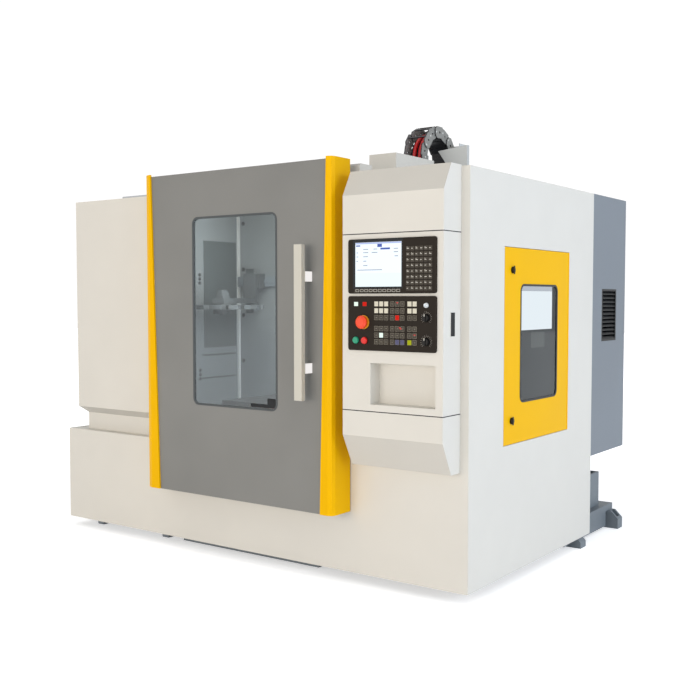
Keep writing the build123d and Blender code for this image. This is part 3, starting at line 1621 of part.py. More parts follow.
def coolant_tank():
    """Wheeled tank under the left side of the enclosure, with its pump."""
    x = (tank_outer_clearance - half_width, -bed_half_width - tank_bed_clearance)
    y = (front_y + tank_front_clearance, cross_front_y - tank_rear_clearance)
    z = (40.0, 370.0)
    body = block(x, y, z) - block(grown(x, -sheet), grown(y, -sheet), (z[0] + sheet, z[1] + 1))
    lid = block(x, (y[0] + 350, y[1]), (z[1] - 1, z[1] + 2))
    pump = faceted_z(60, x[0] + 130, y[1] - 150, (z[1] + 1, z[1] + 230))
    shaft = faceted_z(35, x[0] + 130, y[1] - 150, (z[0] + 40, z[1]))
    body += lid + pump + shaft
    for foot_x in (x[0] + 80, x[1] - 80):
        for foot_y in (y[0] + 80, y[1] - 80):
            body += block(grown((foot_x, foot_x), 30), grown((foot_y, foot_y), 30), (0, z[0] + 1))
    return body


def main():
    os.makedirs("parts", exist_ok=True)
    x_screw, y_screw, z_screw = axis_screws()
    save("bed_casting", *bed_casting())
    save("column_casting", column_casting())
    save("axis_guides", *y_axis_guides(), *z_axis_guides(), *screw_supports())
    save("axis_motors", y_motor(), z_motor())
    save("front_lower_panel", front_lower_panel())
    save("front_right_panel", front_right_panel())
    save("left_tower", left_tower())
    save("left_lower_panel", left_lower_panel())
    save("right_side_panel", right_side_panel())
    save("rear_panels", *rear_panels())
    save("roof_panel", *roof_panel(), front_header(), header_housing())
    save("door_rail", door_top_rail())
    save("splash_lining", *lining(), *lining_front(), *chip_pans())
    save("chain_guard", chain_guard())
    save("chain_rear_channel", chain_rear_channel())
    save("control_box", *control_box())
    save("screen_bezel", screen_bezel())
    save("screen_glass", screen_glass())
    save("membrane_keys", *membrane_keys())
    save("operator_panel", operator_panel())
    save("electrical_cabinet", *electrical_cabinet())
    save("cabinet_vent", cabinet_vent())
    save("cabinet_door", cabinet_door())
    save("coolant_tank", coolant_tank())
    save("magazine_beam", magazine_beam())
    save("magazine_carriage", magazine_carriage(), magazine_motor())
    save("magazine_disc", magazine_disc())
    save("door_panel", door_panel())
    save("door_trims", *door_trims())
    save("door_gasket", door_gasket())
    save("door_window", door_window())
    save("door_handle", door_handle())
    save("door_hangers", *door_hangers())
    save("side_door_panel", side_door())
    save("side_door_gasket", side_gasket())
    save("side_door_window", side_window())
    save("side_latch_lower", side_latch(latch_zs[0]))
    save("side_latch_upper", side_latch(latch_zs[1]))
    save("saddle_casting", saddle_casting())
    save("saddle_guides", *y_carriages(), *x_axis_guides(), *x_screw_supports(), x_motor_bracket(), x_motor())
    save("work_table", work_table(), *x_carriages())
    save("head_casting", head_casting(), *z_carriages(), chain_arm())
    save("spindle_motor", spindle_motor())
    save("spindle", spindle())
    save("x_screw", x_screw)
    save("y_screw", y_screw)
    save("z_screw", z_screw)
    for index in range(cover_count):
        save(f"way_cover_{index + 1}", way_cover(index))
    save("drag_chain", *drag_chain())
    save("chain_hoses", *chain_hoses())
    save("e_stop", mushroom_button(control_places["e_stop"]))
    save("start_button", push_button(control_places["start_button"], button_radius, 8))
    save("stop_button", push_button(control_places["stop_button"], button_radius, 8))
    save("feed_knob", turn_knob(control_places["feed_knob"], 22, 16))
    save("spindle_knob", turn_knob(control_places["spindle_knob"], 22, 16))
    save("key_switch", key_barrel(control_places["key_switch"]))


main()
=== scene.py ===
"""Looks, light and camera for the machining centre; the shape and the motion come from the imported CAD.

Sizes and places of the pieces are in millimetres, those of lamps, floor and camera in metres.
"""

from math import cos, pi, radians, sin

import bmesh
import bpy
from mathutils import Matrix, Vector


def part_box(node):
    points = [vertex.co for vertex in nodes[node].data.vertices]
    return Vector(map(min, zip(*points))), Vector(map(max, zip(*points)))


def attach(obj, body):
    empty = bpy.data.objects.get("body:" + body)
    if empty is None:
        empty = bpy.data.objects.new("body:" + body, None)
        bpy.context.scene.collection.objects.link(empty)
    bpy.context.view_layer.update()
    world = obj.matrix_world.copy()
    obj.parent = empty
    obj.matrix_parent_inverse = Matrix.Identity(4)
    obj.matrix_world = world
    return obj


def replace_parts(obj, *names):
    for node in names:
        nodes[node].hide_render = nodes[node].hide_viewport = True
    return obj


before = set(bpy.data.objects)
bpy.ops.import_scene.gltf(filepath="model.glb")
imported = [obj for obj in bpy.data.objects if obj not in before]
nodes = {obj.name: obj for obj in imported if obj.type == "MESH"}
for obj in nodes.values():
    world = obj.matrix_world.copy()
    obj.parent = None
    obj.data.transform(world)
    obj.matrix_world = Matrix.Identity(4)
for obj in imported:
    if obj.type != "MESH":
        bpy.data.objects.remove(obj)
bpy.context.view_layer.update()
scene = bpy.context.scene


def colour(code):
    """An sRGB hex colour as linear RGBA."""
    channels = [int(code[i:i + 2], 16) / 255 for i in (1, 3, 5)]
    linear = [c / 12.92 if c <= 0.04045 else ((c + 0.055) / 1.055) ** 2.4 for c in channels]
    return (*linear, 1.0)


def add(tree, kind, links=(), **settings):
    """Adds a shader node, sets its properties and inputs, and links outputs of other nodes to its inputs."""
    node = tree.nodes.new(kind)
    for key, value in settings.items():
        if hasattr(node, key):
            setattr(node, key, value)
        else:
            node.inputs[key.replace("_", " ")].default_value = value
    for socket, source in links:
        tree.links.new(source, node.inputs[socket])
    return node


def maths(tree, operation, first, second, **settings):
    """The result of a maths node, whose two sides are numbers or outputs of other nodes."""
    node = add(tree, "ShaderNodeMath", operation=operation, **settings)
    for socket, side in zip(node.inputs, (first, second)):
        if isinstance(side, float):
            socket.default_value = side
        else:
            tree.links.new(side, socket)
    return node.outputs["Value"]


def remap(tree, value, from_low, from_high, to_low, to_high):
    """A value mapped from one range to another, and held inside it."""
    node = add(
        tree, "ShaderNodeMapRange", [("Value", value)],
        From_Min=from_low, From_Max=from_high, To_Min=to_low, To_Max=to_high,
    )
    return node.outputs["Result"]


def shader(name):
    """An empty material with its node tree and output node."""
    material = bpy.data.materials.new(name)
    material.use_nodes = True
    tree = material.node_tree
    tree.nodes.clear()
    return material, tree, add(tree, "ShaderNodeOutputMaterial")


def surface(
    name, base, roughness, metallic=0.0, grain_mm=0.0, grain=0.0, mottle=0.0, mottle_mm=300.0, shine=0.5,
    slant_shade=0.0, side=None,
):
    """A painted, plastic or metal finish with fine grain and slow unevenness, in object coordinates.

    A slant shade darkens slanted folds as painted shade, and a side colour is a painted highlight on faces that look
    to +X.
    """
    material, tree, output = shader(name)
    place = add(tree, "ShaderNodeTexCoord").outputs["Object"]
    slow = add(tree, "ShaderNodeTexNoise", [("Vector", place)], Scale=1000.0 / mottle_mm, Detail=2.0).outputs["Fac"]
    span = remap(tree, slow, 0.3, 0.7, 1.0 - mottle, 1.0 + mottle * 0.4)
    tint = add(tree, "ShaderNodeVectorMath", [(1, span)], operation="MULTIPLY")
    tint.inputs[0].default_value = colour(base)[:3]
    paint = tint.outputs["Vector"]
    if slant_shade or side:
        facing = add(tree, "ShaderNodeNewGeometry").outputs["True Normal"]
        normal = add(tree, "ShaderNodeSeparateXYZ", [(0, facing)]).outputs
    if slant_shade:
        # Painted shade, greatest on faces at 45 degrees, and nothing on upright and level ones
        tilt = maths(tree, "MULTIPLY", normal["Z"], normal["Z"])
        fold = maths(tree, "MULTIPLY", tilt, maths(tree, "SUBTRACT", 1.0, tilt))
        shade = remap(tree, fold, 0.0, 0.25, 1.0, 1.0 - slant_shade)
        paint = add(tree, "ShaderNodeVectorMath", [(0, paint), (1, shade)], operation="MULTIPLY").outputs["Vector"]
    # Painted highlight: the side colour stands in for the sheen on faces that look to +X
    if side:
        turned = remap(tree, normal["X"], 0.8, 0.95, 0.0, 1.0)
        sheen = add(tree, "ShaderNodeMix", [(0, turned), (6, paint)], data_type="RGBA")
        sheen.inputs[7].default_value = colour(side)
        paint = sheen.outputs[2]
    gloss = remap(tree, slow, 0.0, 1.0, max(roughness - 0.05, 0.02), roughness + 0.05)
    body = add(
        tree, "ShaderNodeBsdfPrincipled", [("Base Color", paint), ("Roughness", gloss)],
        Metallic=metallic, Specular_IOR_Level=shine,
    )
    if grain:
        fine = add(tree, "ShaderNodeTexNoise", [("Vector", place)], Scale=1000.0 / grain_mm, Detail=1.0)
        bump = add(
            tree, "ShaderNodeBump", [("Height", fine.outputs["Fac"])], Strength=grain, Distance=grain_mm / 1000.0,
        )
        tree.links.new(bump.outputs["Normal"], body.inputs["Normal"])
    tree.links.new(body.outputs["BSDF"], output.inputs["Surface"])
    return material


def glow(name, base, strength):
    """A face that gives light."""
    material, tree, output = shader(name)
    light = add(tree, "ShaderNodeEmission", Color=colour(base), Strength=strength)
    tree.links.new(light.outputs["Emission"], output.inputs["Surface"])
    return material


def window_glass(name, tint, roughness, haze):
    """Laminated safety glass: a tinted clear body under a mirror-like front face.

    The haze is reflection that the face gives at every angle, or takes away where a coating lowers it.
    """
    material, tree, output = shader(name)
    clear = add(tree, "ShaderNodeBsdfTransparent", Color=colour(tint))
    face = add(tree, "ShaderNodeBsdfGlossy", Color=colour("#F4F8FA"), Roughness=roughness)
    edge = add(tree, "ShaderNodeFresnel", IOR=1.52).outputs["Fac"]
    back = add(tree, "ShaderNodeNewGeometry").outputs["Backfacing"]
    veil = maths(tree, "ADD", edge, haze, use_clamp=True)
    share = maths(tree, "MULTIPLY", veil, maths(tree, "SUBTRACT", 1.0, back))
    mixed = add(tree, "ShaderNodeMixShader", [(0, share), (1, clear.outputs["BSDF"]), (2, face.outputs["BSDF"])])
    tree.links.new(mixed.outputs["Shader"], output.inputs["Surface"])
    return material


def shown_directly(tree):
    """1 for rays from the camera, a mirror face or a window, 0 for rays that only carry light."""
    rays = add(tree, "ShaderNodeLightPath").outputs
    either = maths(tree, "MAXIMUM", rays["Is Camera Ray"], rays["Is Glossy Ray"])
    return maths(tree, "MAXIMUM", either, rays["Is Transmission Ray"])


def piece(name, work, material, body="machine_frame"):
    """A mesh object at the origin from a bmesh, riding one body of the machine."""
    mesh = bpy.data.meshes.new(name)
    work.to_mesh(mesh)
    work.free()
    mesh.materials.append(material)
    item = bpy.data.objects.new(name, mesh)
    scene.collection.objects.link(item)
    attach(item, body)
    return item


def add_box(work, low, high):
    """A box between two corners."""
    centre = [(a + b) / 2000 for a, b in zip(low, high)]
    size = [(b - a) / 1000 for a, b in zip(low, high)]
    matrix = Matrix.Translation(centre) @ Matrix.Diagonal((*size, 1.0))
    bmesh.ops.create_cube(work, size=1.0, matrix=matrix)


def add_disc(work, centre, normal, radius, thickness, sides=12):
    """A short round bar centred on a point."""
    turn = Vector((0, 0, 1)).rotation_difference(Vector(normal)).to_matrix().to_4x4()
    matrix = Matrix.Translation([c / 1000 for c in centre]) @ turn
    bmesh.ops.create_cone(
        work, cap_ends=True, segments=sides, radius1=radius / 1000, radius2=radius / 1000,
        depth=thickness / 1000, matrix=matrix,
    )


def add_frame(work, x, z, low, high, line, y):
    """A printed outline on a face that looks to -Y, between its two depths y, its corners measured from x and z."""
    (left, foot), (right, head) = low, high
    for start, end in (
        ((left, head - line), (right, head)),
        ((left, foot), (right, foot + line)),
        ((left, foot), (left + line, head)),
        ((right - line, foot), (right, head)),
    ):
        add_box(work, (x + start[0], y[0], z + start[1]), (x + end[0], y[1], z + end[1]))


def flat(y, left, right, foot, head):
    """The two corners of a thin box on a face that looks to -Y, between its two depths y."""
    return (left, y[0], foot), (right, y[1], head)


def around(y, x, z, half_width, half_height):
    """The same for a box centred on x and z."""
    return flat(y, x - half_width, x + half_width, z - half_height, z + half_height)


def boxes(name, material, corners, body="machine_frame"):
    """One piece made of boxes, each given by its two corners."""
    work = bmesh.new()
    for low, high in corners:
        add_box(work, low, high)
    return piece(name, work, material, body)


# Powder-coated sheet steel of the enclosure, with painted shade on its slanted folds
cream = surface("cream_powder_coat", "#DBD8D0", 0.5, grain_mm=2.5, grain=0.08, mottle=0.02, shine=0.15, slant_shade=0.22)
# Satin enamel of the door sheet
grey = surface(
    "grey_enamel", "#838380", 0.42, grain_mm=2.0, grain=0.05, mottle=0.09, mottle_mm=700.0, shine=0.22,
)
# Gloss enamel of the trims and the side door
yellow = surface("yellow_enamel", "#EFB700", 0.4, grain_mm=2.0, grain=0.04, mottle=0.02, shine=0.06)
# Powder coat of the electrical cabinet
slate = surface(
    "blue_grey_powder_coat", "#7F868D", 0.5, grain_mm=2.5, grain=0.15, mottle=0.1, mottle_mm=1400.0, shine=0.2,
)
# Powder coat of the chain's channel and of the guard beside it
guard_grey = surface("light_grey_powder_coat", "#C9CCCB", 0.5, grain_mm=2.5, grain=0.08)
# Paint on the machine's castings, darker on the base
casting = surface("painted_casting", "#7F8A92", 0.5, grain_mm=6.0, grain=0.25, mottle=0.06)
base_paint = surface("painted_base_casting", "#747C82", 0.5, grain_mm=6.0, grain=0.25, mottle=0.06, shine=0.25)
# Enamel of the sheets inside of the work zone, and painted shade on them as darker panels
inner = surface("lining_enamel", "#8E9699", 0.5, grain_mm=3.0, grain=0.05, mottle=0.06, shine=0.2)
lining_painted_shade = surface("lining_painted_shadow", "#596264", 0.5, grain_mm=3.0, grain=0.03, mottle=0.08, shine=0.2)
# Paint on the tool changer and on the coolant tank
machine_grey = surface("painted_tool_changer", "#595F62", 0.6, grain_mm=3.0, grain=0.05, mottle=0.04, shine=0.2)
tank = surface("tank_paint", "#7F8890", 0.5, grain_mm=3.0, grain=0.1, mottle=0.03)
# Ground bearing steel of rails, screws and table
steel = surface("ground_steel", "#B4B6B8", 0.3, metallic=1.0, grain_mm=1.0, grain=0.05, mottle=0.05)
# Brushed steel of the way covers
sheet_steel = surface("brushed_sheet_steel", "#8E9194", 0.4, metallic=1.0, grain_mm=1.0, grain=0.08, mottle=0.08)
# Polished steel of the corner trim and the key switch
bright_trim = surface("polished_corner_trim", "#E3E7E8", 0.3)
# Blackened steel of screws
screw_dark = surface("blackened_screw", "#2A2E31", 0.5)
# Anodised aluminium of the handle and of the servo motors; the posts' sides glow as a painted highlight
anodised = surface(
    "anodised_aluminium", "#C3C0B5", 0.38, metallic=0.15, grain_mm=1.0, grain=0.05, shine=0.25,
)
post_glint = glow("painted_post_highlight", "#F4F0EE", 1.0)
dark_metal = surface("dark_anodised_aluminium", "#2A2B2E", 0.45, grain_mm=3.0, grain=0.1)
# Moulded plastic of the two panels, and of vents, slots, joints and stops
panel_black = surface(
    "moulded_panel_plastic", "#241E18", 0.55, grain_mm=1.0, grain=0.1, mottle=0.04, shine=0.12,
)
slot_black = surface("slot_plastic", "#111417", 0.5, shine=0.25)
# Glass-filled nylon of the chain, with a painted highlight that makes its outer side pale, with its lids and pins
chain_black = surface(
    "glass_filled_nylon", "#1D1C22", 0.42, grain_mm=2.0, grain=0.15, mottle=0.1, side="#8A8A86",
)
lid_black = surface("chain_lid_nylon", "#17161A", 0.5, grain_mm=2.0, grain=0.1)
pin_white = surface("chain_pin_plastic", "#DDDDD8", 0.4)
# Rubber of gaskets and hoses
rubber = surface("rubber_gasket", "#24272A", 0.65)
grey_rubber = surface("grey_rubber_gasket", "#43484A", 0.65)
hose = surface("red_hose_rubber", "#C01A1E", 0.4)
# Plastic of knobs, keys and buttons
knob_black = surface("knob_plastic", "#121110", 0.4, shine=0.2)
key_dark = surface("key_plastic", "#39332A", 0.5, shine=0.3)
key_light = surface("ivory_key_plastic", "#CFCAB8", 0.45)
key_blue = surface("blue_key_plastic", "#34355E", 0.4)
red = surface("red_plastic", "#D81E16", 0.3)
orange = surface("emergency_red_plastic", "#F0441A", 0.28)
collar_yellow = surface("yellow_collar_plastic", "#FAB02A", 0.35)
green = surface("green_plastic", "#14936E", 0.3)
# Print on keys and dials
mark_white = surface("printed_white_mark", "#D9D6CC", 0.5)
mark_grey = surface("printed_grey_mark", "#8D8676", 0.5)
# Lit keys and lamps
lamp_white = glow("lit_white_lamp", "#EAFBEF", 1.1)
lamp_red = glow("lit_red_lamp", "#E02A20", 0.9)
lamp_yellow = glow("lit_yellow_lamp", "#C8CE2A", 0.7)
# The lit screen and the fields on it
screen_white = glow("lit_screen", "#EEF7FF", 1.15)
screen_blue = glow("screen_blue_field", "#5A6FC0", 0.9)
screen_band = glow("screen_pale_band", "#B9C7F2", 1.0)
screen_text = glow("screen_grey_marks", "#9AA6B8", 0.95)
screen_cyan = glow("screen_cyan_foot", "#ECFBFD", 1.1)
# Painted light behind the side window: glowing fields, and a dark sheet of painted shade
window_glow_white = glow("painted_light_field", "#F4F6F8", 1.5)
window_glow_grey = glow("painted_light_band", "#C9CAD2", 1.3)
window_glow_dim = glow("painted_dim_light_pane", "#5C605F", 0.9)
window_shade_dark = surface("painted_shade_sheet", "#2E3132", 0.6, shine=0.1)
# Safety glass of the two doors; the side door's gives back less, as if coated
front_glass = window_glass("front_safety_glass", "#DDE0E0", 0.12, 0.03)
side_glass = window_glass("side_safety_glass", "#E2E6E8", 0.05, -0.05)

# What each CAD piece is made of
finish = {
    cream: "front_lower_panel front_right_panel left_tower left_lower_panel right_side_panel rear_panels roof_panel "
    "chain_guard control_box",
    grey: "door_panel",
    yellow: "door_trims side_door_panel",
    slate: "electrical_cabinet cabinet_door",
    slot_black: "cabinet_vent",
    casting: "column_casting saddle_casting head_casting magazine_beam",
    base_paint: "bed_casting",
    inner: "splash_lining",
    guard_grey: "chain_rear_channel",
    tank: "coolant_tank",
    steel: "axis_guides saddle_guides work_table spindle x_screw y_screw z_screw door_rail door_hangers",
    sheet_steel: "way_cover_1 way_cover_2 way_cover_3 way_cover_4 way_cover_5",
    anodised: "door_handle",
    dark_metal: "axis_motors spindle_motor",
    machine_grey: "magazine_disc magazine_carriage",
    panel_black: "screen_bezel operator_panel",
    chain_black: "drag_chain",
    knob_black: "feed_knob spindle_knob side_latch_lower side_latch_upper",
    bright_trim: "key_switch",
    rubber: "side_door_gasket",
    grey_rubber: "door_gasket",
    key_dark: "membrane_keys",
    orange: "e_stop",
    red: "stop_button",
    green: "start_button",
    hose: "chain_hoses",
    screen_white: "screen_glass",
    front_glass: "door_window",
    side_glass: "side_door_window",
}
for material, names in finish.items():
    for name in names.split():
        slots = nodes[name].data.materials
        slots.clear()
        slots.append(material)

# Inside of the work zone: corner trim, bolted seam, and painted shade as dark panels on the left and rear sheets of
# the lining
LEFT_SHEET, REAR_SHEET = -1240.0, 360.0
boxes("corner_trim", bright_trim, [((LEFT_SHEET, REAR_SHEET - 25, 700), (LEFT_SHEET + 14, REAR_SHEET, 2330))])
work = bmesh.new()
for z in (787, 1157, 1529, 1901, 2273):
    add_disc(work, (-1190, REAR_SHEET - 1.5, z), (0, -1, 0), 17, 5)
for z in (1032, 1067, 1102, 1785, 1817, 1849):
    add_disc(work, (LEFT_SHEET + 2, -97, z), (1, 0, 0), 13, 5)
piece("lining_screws", work, screw_dark)
# Painted shade: dark panels on the left sheet and under its folds, and one on the rear sheet
boxes("lining_side_shade", lining_painted_shade, [((LEFT_SHEET + 0.1, -50, 1276), (LEFT_SHEET + 4, 318, 2118))])
boxes("lining_fold_shades", lining_painted_shade, [
    ((LEFT_SHEET + 0.1, -70, foot), (LEFT_SHEET + 4, 300, head)) for foot, head in ((1210, 1226), (1030, 1044))
])
boxes("lining_rear_shade", lining_painted_shade, [((-1160, REAR_SHEET - 4, 1546), (-1080, REAR_SHEET - 0.1, 1905))])

# Black corner stop on the door's glass, under the gasket's lip, and the seal that runs into it
low, high = (corner * 1000 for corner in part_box("door_window"))
boxes("window_corner_stop", slot_black, [
    ((high.x + left, low.y - 1.5, low.z + 4), (high.x + right, low.y - 0.2, low.z + head))
    for left, right, head in ((-68, -4, 62), (-200, -68, 26))
], "front_door")

# Painted light and shade behind the side window: a dark sheet of painted shade with a glowing white upper field,
# held by the side door
low, high = (corner * 1000 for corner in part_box("side_door_window"))
painted_backing_x = low.x - 8
for name, depth, across, up, material in (
    ("side_window_shade_sheet", (0, 1.5), (low.y - 8, high.y + 8), (low.z - 8, high.z + 8), window_shade_dark),
    ("side_window_glow_field", (2, 3), (low.y, low.y + 466), (low.z + 411, low.z + 643), window_glow_white),
    ("side_window_glow_band", (2, 3), (low.y, low.y + 466), (low.z + 644, high.z), window_glow_grey),
    ("side_window_dim_glow_pane", (2, 3), (low.y + 170, low.y + 362), (low.z + 301, low.z + 395), window_glow_dim),
):
    start, end = zip((painted_backing_x + depth[0], painted_backing_x + depth[1]), across, up)
    boxes(name, material, [(start, end)], "side_door")

# Front face of the control box, of its two panels, of the lit picture's marks and of the keys
FRONT = -1215.0
FACE = FRONT - 10.0
SCREEN = FACE - 0.6
KEY = FACE - 2.0
ON_SCREEN = (SCREEN, SCREEN + 0.5)
ON_KEY = (KEY - 0.3, KEY)

# Picture on the screen: plain fields and rows of marks, with no words; the marks' places were read on the glass
GLASS_LEFT, GLASS_WIDTH = 1049, 291
LIT_LEFT, LIT_WIDTH = 1057, 299
boxes("screen_rim", slot_black, [flat((FACE - 0.1, FACE + 0.5), 1040, 1364, 1716, 1984)])
lit_picture = [flat((FACE - 0.5, FACE + 0.4), LIT_LEFT, LIT_LEFT + LIT_WIDTH, 1727, 1967)]
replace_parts(boxes("lit_screen_glass", screen_white, lit_picture), "screen_glass")
boxes("screen_header", screen_band, [flat(ON_SCREEN, 1058, 1355, 1958, 1966)])
boxes("screen_fields", screen_blue, [
    flat(ON_SCREEN, 1062, 1090, 1946, 1953),
    flat(ON_SCREEN, 1202, 1232, 1940, 1957),
    flat(ON_SCREEN, 1222, 1284, 1926, 1936),
])
mark_rows = (
    (1933, ((1100, 1132), (1165, 1190), (1293, 1320))),
    (1915, ((1056, 1066), (1100, 1132), (1154, 1191), (1293, 1320))),
    (1893, ((1056, 1068), (1100, 1130), (1298, 1320))),
    (1869, ((1056, 1066), (1100, 1120))),
    (1845, ((1100, 1127),)),
    (1821, ((1062, 1220),)),
)
boxes("screen_marks", screen_text, [
    flat(ON_SCREEN, *(LIT_LEFT + (x - GLASS_LEFT) * LIT_WIDTH / GLASS_WIDTH for x in span), z - 5, z - 1)
    for z, spans in mark_rows for span in spans
])
boxes("screen_foot", screen_cyan, [flat((SCREEN + 0.05, SCREEN + 0.5), 1058, 1355, 1728, 1800)])

# Lit and coloured keys of the lower panel, as caps over the plain ones
CAP = (KEY - 0.6, KEY)
KEY_COLUMNS = (1197, 1229, 1261, 1300, 1332, 1364, 1409, 1441)
KEY_ROWS = (1429, 1465, 1501, 1560, 1597, 1634)
HALF_KEY, HALF_LAMP = (12.2, 12.8), (13, 11)
caps = (
    ("ivory_keys", key_light, [(column, row) for column in (0, 1, 2, 6, 7) for row in (4, 5)]),
    ("white_lit_keys", lamp_white, [(1, 1)]),
    ("red_lit_keys", lamp_red, [(4, 3)]),
    ("blue_keys", key_blue, [(4, 0), (5, 0)]),
    ("yellow_lit_keys", lamp_yellow, [(6, 0)]),
)
for name, material, places in caps:
    boxes(name, material, [around(CAP, KEY_COLUMNS[column], KEY_ROWS[row], *HALF_KEY) for column, row in places])
for name, material, x in (("power_on_lamp", lamp_white, 1063), ("power_off_lamp", lamp_red, 1120)):
    boxes(name, material, [around(CAP, x, 1633, *HALF_LAMP)])

# Small printed symbols on the keys of the upper panel: plain dashes on the keypad, outlines under the screen
PAD_X, PAD_PITCH_X, PAD_COLUMNS = 1398, 27.5, 6
PAD_Z, PAD_PITCH_Z, PAD_ROWS = 1717, 30, 8
SOFT_X, SOFT_PITCH, SOFT_KEYS, SOFT_Z = 1071, 29.6, 10, 1706
dashes = []
for column in range(PAD_COLUMNS):
    for row in range(PAD_ROWS):
        x, z = PAD_X + PAD_PITCH_X * column, PAD_Z + PAD_PITCH_Z * row
        dashes.append(flat(ON_KEY, x - 7, x + 2 + (column + row) % 4 * 1.5, z - 1, z + 1.6))
        if (column * 3 + row) % 2:
            dashes.append(flat(ON_KEY, x - 7, x - 2, z + 5, z + 7))
boxes("pad_marks", mark_white, dashes)
work = bmesh.new()
for index in range(SOFT_KEYS):
    add_frame(work, SOFT_X + SOFT_PITCH * index, SOFT_Z, (-11, -7), (11, 7), 1.5, ON_KEY)
piece("soft_key_frames", work, mark_white)

# Outline of each key of the lower panel, with a dash on the plain ones
capped = [place for _, _, places in caps for place in places]
work = bmesh.new()
for column, x in enumerate(KEY_COLUMNS):
    for row, z in enumerate(KEY_ROWS):
        add_frame(work, x, z, (-13, -13.4), (13, 13), 1, (KEY - 0.2, KEY))
        if (column, row) not in capped:
            add_box(work, *around(ON_KEY, x, z, 4, 1))
piece("panel_key_marks", work, mark_grey)
boxes("red_key_marks", red, [
    around((KEY - 0.5, KEY), x, z, 6, 2)
    for x, z in ((1332, 1640), (1348, 1507), (1441, 1470), (1354, 1501))
])

# Dial scales round the two knobs, as 15 strokes of three dots over 270 degrees, and the knobs' pointers
STROKES, DOTS, DOT = 15, 3, 0.7
dots = []
for x, z, inner_radius, outer_radius in ((1512, 1561, 27, 33), (1512, 1435, 27, 35)):
    for step in range(STROKES):
        angle = radians(-45 + step * 270 / (STROKES - 1))
        for index in range(DOTS):
            radius = inner_radius + index * (outer_radius - inner_radius) / (DOTS - 1)
            dots.append(around((FACE - 0.3, FACE), x - radius * cos(angle), z + radius * sin(angle), DOT, DOT))
boxes("dial_scales", mark_white, dots)
for name in ("feed_knob", "spindle_knob"):
    low, high = (corner * 1000 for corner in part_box(name))
    middle = (low.x + high.x) / 2
    pointer = flat((low.y - 0.4, low.y), middle - 2, middle + 2, high.z - 14, high.z - 1)
    boxes(name + "_pointer", mark_white, [pointer], name)
work = bmesh.new()
add_disc(work, (1111, FACE - 1.5, 1534), (0, 1, 0), 38, 3, sides=40)
piece("e_stop_collar", work, collar_yellow)

# Dark insert of the card slot on the control box's side, and the open joints between the box's three sections
boxes("card_slot_insert", slot_black, [((1610.5, FRONT + 74, 1464), (1612, FRONT + 115, 1589))])
joints = []
for z in (1044, 2015):
    joints.append(flat((FRONT - 0.3, FRONT + 0.6), 963, 1608, z - 2.5, z + 2.5))
    joints.append(((1607.4, FRONT, z - 2.5), (1608.3, FRONT + 184, z + 2.5)))
boxes("control_box_joints", slot_black, joints)

# Light grey guard that stands on the roof beside the chain's rear leg, with a folded edge
work = bmesh.new()
outline = ((500, 2738), (740, 2762), (740, 2330), (612, 2330), (566, 2645))
for y in (600, 604):
    work.faces.new([work.verts.new((x / 1000, y / 1000, z / 1000)) for x, z in outline])
front, back = [list(face.verts) for face in work.faces]
for index in range(len(outline)):
    after = (index + 1) % len(outline)
    work.faces.new((front[index], front[after], back[after], back[index]))
bmesh.ops.recalc_face_normals(work, faces=work.faces)
add_box(work, (736, 604, 2330), (740, 634, 2762))
piece("chain_side_guard", work, guard_grey)

# Chain: closed lids on the inside, and outside behind the top, with light pins at the outer links' joints
FRONT_LINKS, BEND_LINKS, REAR_LINKS = 9, 7, 4
CENTRE_Y, CENTRE_Z, RADIUS, HALF_HEIGHT = 616.0, 2675.0, 200.0, 42.0
MIDDLE_X, PIN_X = 422.5, 505.0
LID = (128, 3, 86)
pitch = pi * RADIUS / BEND_LINKS
lids, pins = bmesh.new(), bmesh.new()
for index in range(-FRONT_LINKS, BEND_LINKS + REAR_LINKS):
    if index < 0:
        angle, y, z = 0.0, CENTRE_Y - RADIUS, CENTRE_Z + pitch * (index + 0.5)
    elif index >= BEND_LINKS:
        angle, y, z = pi, CENTRE_Y + RADIUS, CENTRE_Z - pitch * (index - BEND_LINKS + 0.5)
    else:
        angle = pi * (index + 0.5) / BEND_LINKS
        y, z = CENTRE_Y - RADIUS * cos(angle), CENTRE_Z + RADIUS * sin(angle)
    turn = Matrix.Translation((0, y / 1000, z / 1000)) @ Matrix.Rotation(-angle, 4, "X")
    inner_lid, outer_lid = HALF_HEIGHT - 4.5, 3.0 - HALF_HEIGHT
    for inward in (inner_lid, outer_lid) if index > 2 else (inner_lid,):
        middle = Vector((MIDDLE_X, inward, 0)) / 1000
        shape = Matrix.Translation(middle) @ Matrix.Diagonal((*(side / 1000 for side in LID), 1.0))
        bmesh.ops.create_cube(lids, size=1.0, matrix=turn @ shape)
    if index % 2:
        for joint in (-pitch / 2, pitch / 2):
            spot = turn @ (Vector((PIN_X, 0, joint)) / 1000)
            add_disc(pins, spot * 1000, (1, 0, 0), 7, 0.4)
piece("chain_lids", lids, lid_black, "cable_chain")
piece("chain_pins", pins, pin_white, "cable_chain")

# Painted highlight: glowing side faces of the handle's two posts
low, high = (corner * 1000 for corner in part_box("door_handle"))
boxes("handle_post_highlight_faces", post_glint, [
    ((735, low.y + 31, z - 28.5), (736.6, high.y - 1, z + 28.5)) for z in (1265, 1788)
], "front_door")

# Rounded edges of CAD pieces, as folds, cast corners and grips have them
for width, names in (
    (1.3, "front_lower_panel left_tower left_lower_panel right_side_panel control_box roof_panel chain_guard "
     "front_right_panel"),
    (4.0, "bed_casting column_casting saddle_casting head_casting"),
    (1.5, "door_handle e_stop start_button stop_button"),
):
    for name in names.split():
        bevel = nodes[name].modifiers.new("soft_edges", "BEVEL")
        bevel.width = width / 1000
        bevel.segments = 2
        bevel.limit_method = "ANGLE"
        bevel.angle_limit = radians(35)
        bevel.harden_normals = False

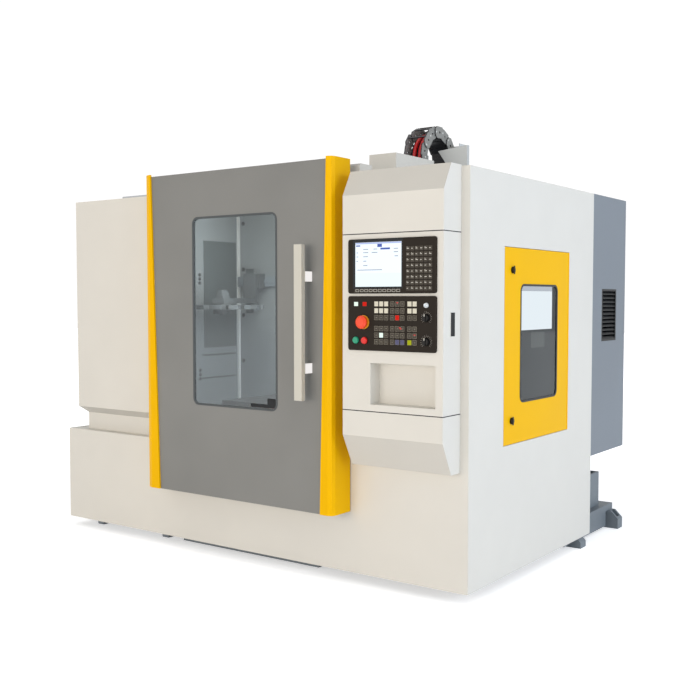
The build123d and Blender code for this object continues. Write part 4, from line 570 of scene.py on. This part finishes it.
# Room: white surroundings, and a pale floor that grows as white as they are with its distance
floor_material, tree, output = shader("pale_floor")
paint = add(tree, "ShaderNodeBsdfDiffuse", Color=colour("#FFFFFF"))
place = add(tree, "ShaderNodeTexCoord").outputs["Object"]
distance = add(tree, "ShaderNodeVectorMath", [(0, place)], operation="LENGTH").outputs["Value"]
strength = maths(tree, "MULTIPLY", remap(tree, distance, 2.5, 9.0, 0.5, 1.05), shown_directly(tree))
lift = add(tree, "ShaderNodeEmission", [("Strength", strength)], Color=colour("#FFFFFF"))
total = add(tree, "ShaderNodeAddShader", [(0, paint.outputs["BSDF"]), (1, lift.outputs["Emission"])])
tree.links.new(total.outputs["Shader"], output.inputs["Surface"])
mesh = bpy.data.meshes.new("floor")
work = bmesh.new()
bmesh.ops.create_grid(work, x_segments=1, y_segments=1, size=40.0)
work.to_mesh(mesh)
work.free()
mesh.materials.append(floor_material)
floor = bpy.data.objects.new("floor", mesh)
scene.collection.objects.link(floor)

world = bpy.data.worlds.new("studio")
scene.world = world
world.use_nodes = True
tree = world.node_tree
tree.nodes.clear()
output = add(tree, "ShaderNodeOutputWorld")
seen = add(tree, "ShaderNodeBackground", Color=colour("#FFFFFF"), Strength=1.05)
lit = add(tree, "ShaderNodeBackground", Color=colour("#F6F8FA"), Strength=0.6)
choice = add(
    tree, "ShaderNodeMixShader",
    [(0, shown_directly(tree)), (1, lit.outputs["Background"]), (2, seen.outputs["Background"])],
)
tree.links.new(choice.outputs["Shader"], output.inputs["Surface"])


def area_light(name, place, target, size, power, tint):
    """A soft lamp at a place, turned to a target and not seen by the camera."""
    data = bpy.data.lights.new(name, "AREA")
    data.shape = "RECTANGLE"
    data.size, data.size_y = size
    data.energy = power
    data.color = colour(tint)[:3]
    light = bpy.data.objects.new(name, data)
    light.location = place
    light.rotation_euler = (Vector(target) - Vector(place)).to_track_quat("-Z", "Y").to_euler()
    light.visible_camera = False
    scene.collection.objects.link(light)


# Three soft lamps of the studio, and two in the work zone
area_light("front_light", (0.5, -10.0, 2.0), (0, -1.0, 1.1), (7.0, 3.0), 352, "#FFF4E8")
area_light("right_light", (9.5, -1.0, 2.5), (1.6, 0, 1.3), (5.0, 4.0), 350, "#DFECFF")
area_light("top_light", (0, 0, 8.0), (0, 0, 0), (7.0, 7.0), 40, "#FFFFFF")
area_light("work_lamp_left", (-0.45, -0.45, 2.0), (-1.1, 0.15, 1.6), (0.4, 0.4), 9, "#FFF9F2")
area_light("work_lamp_right", (0.7, -0.8, 1.6), (-0.6, 0.3, 1.5), (0.3, 1.0), 34, "#FAFBFF")

# Camera of the photograph
camera_data = bpy.data.cameras.new("camera")
camera_data.lens = 49.72
camera = bpy.data.objects.new("camera", camera_data)
camera.location = (4.1395, -5.5634, 1.6604)
camera.rotation_euler = (radians(90 - 3.0206), 0, radians(35.716))
scene.collection.objects.link(camera)
scene.camera = camera

scene.view_settings.view_transform = "Standard"
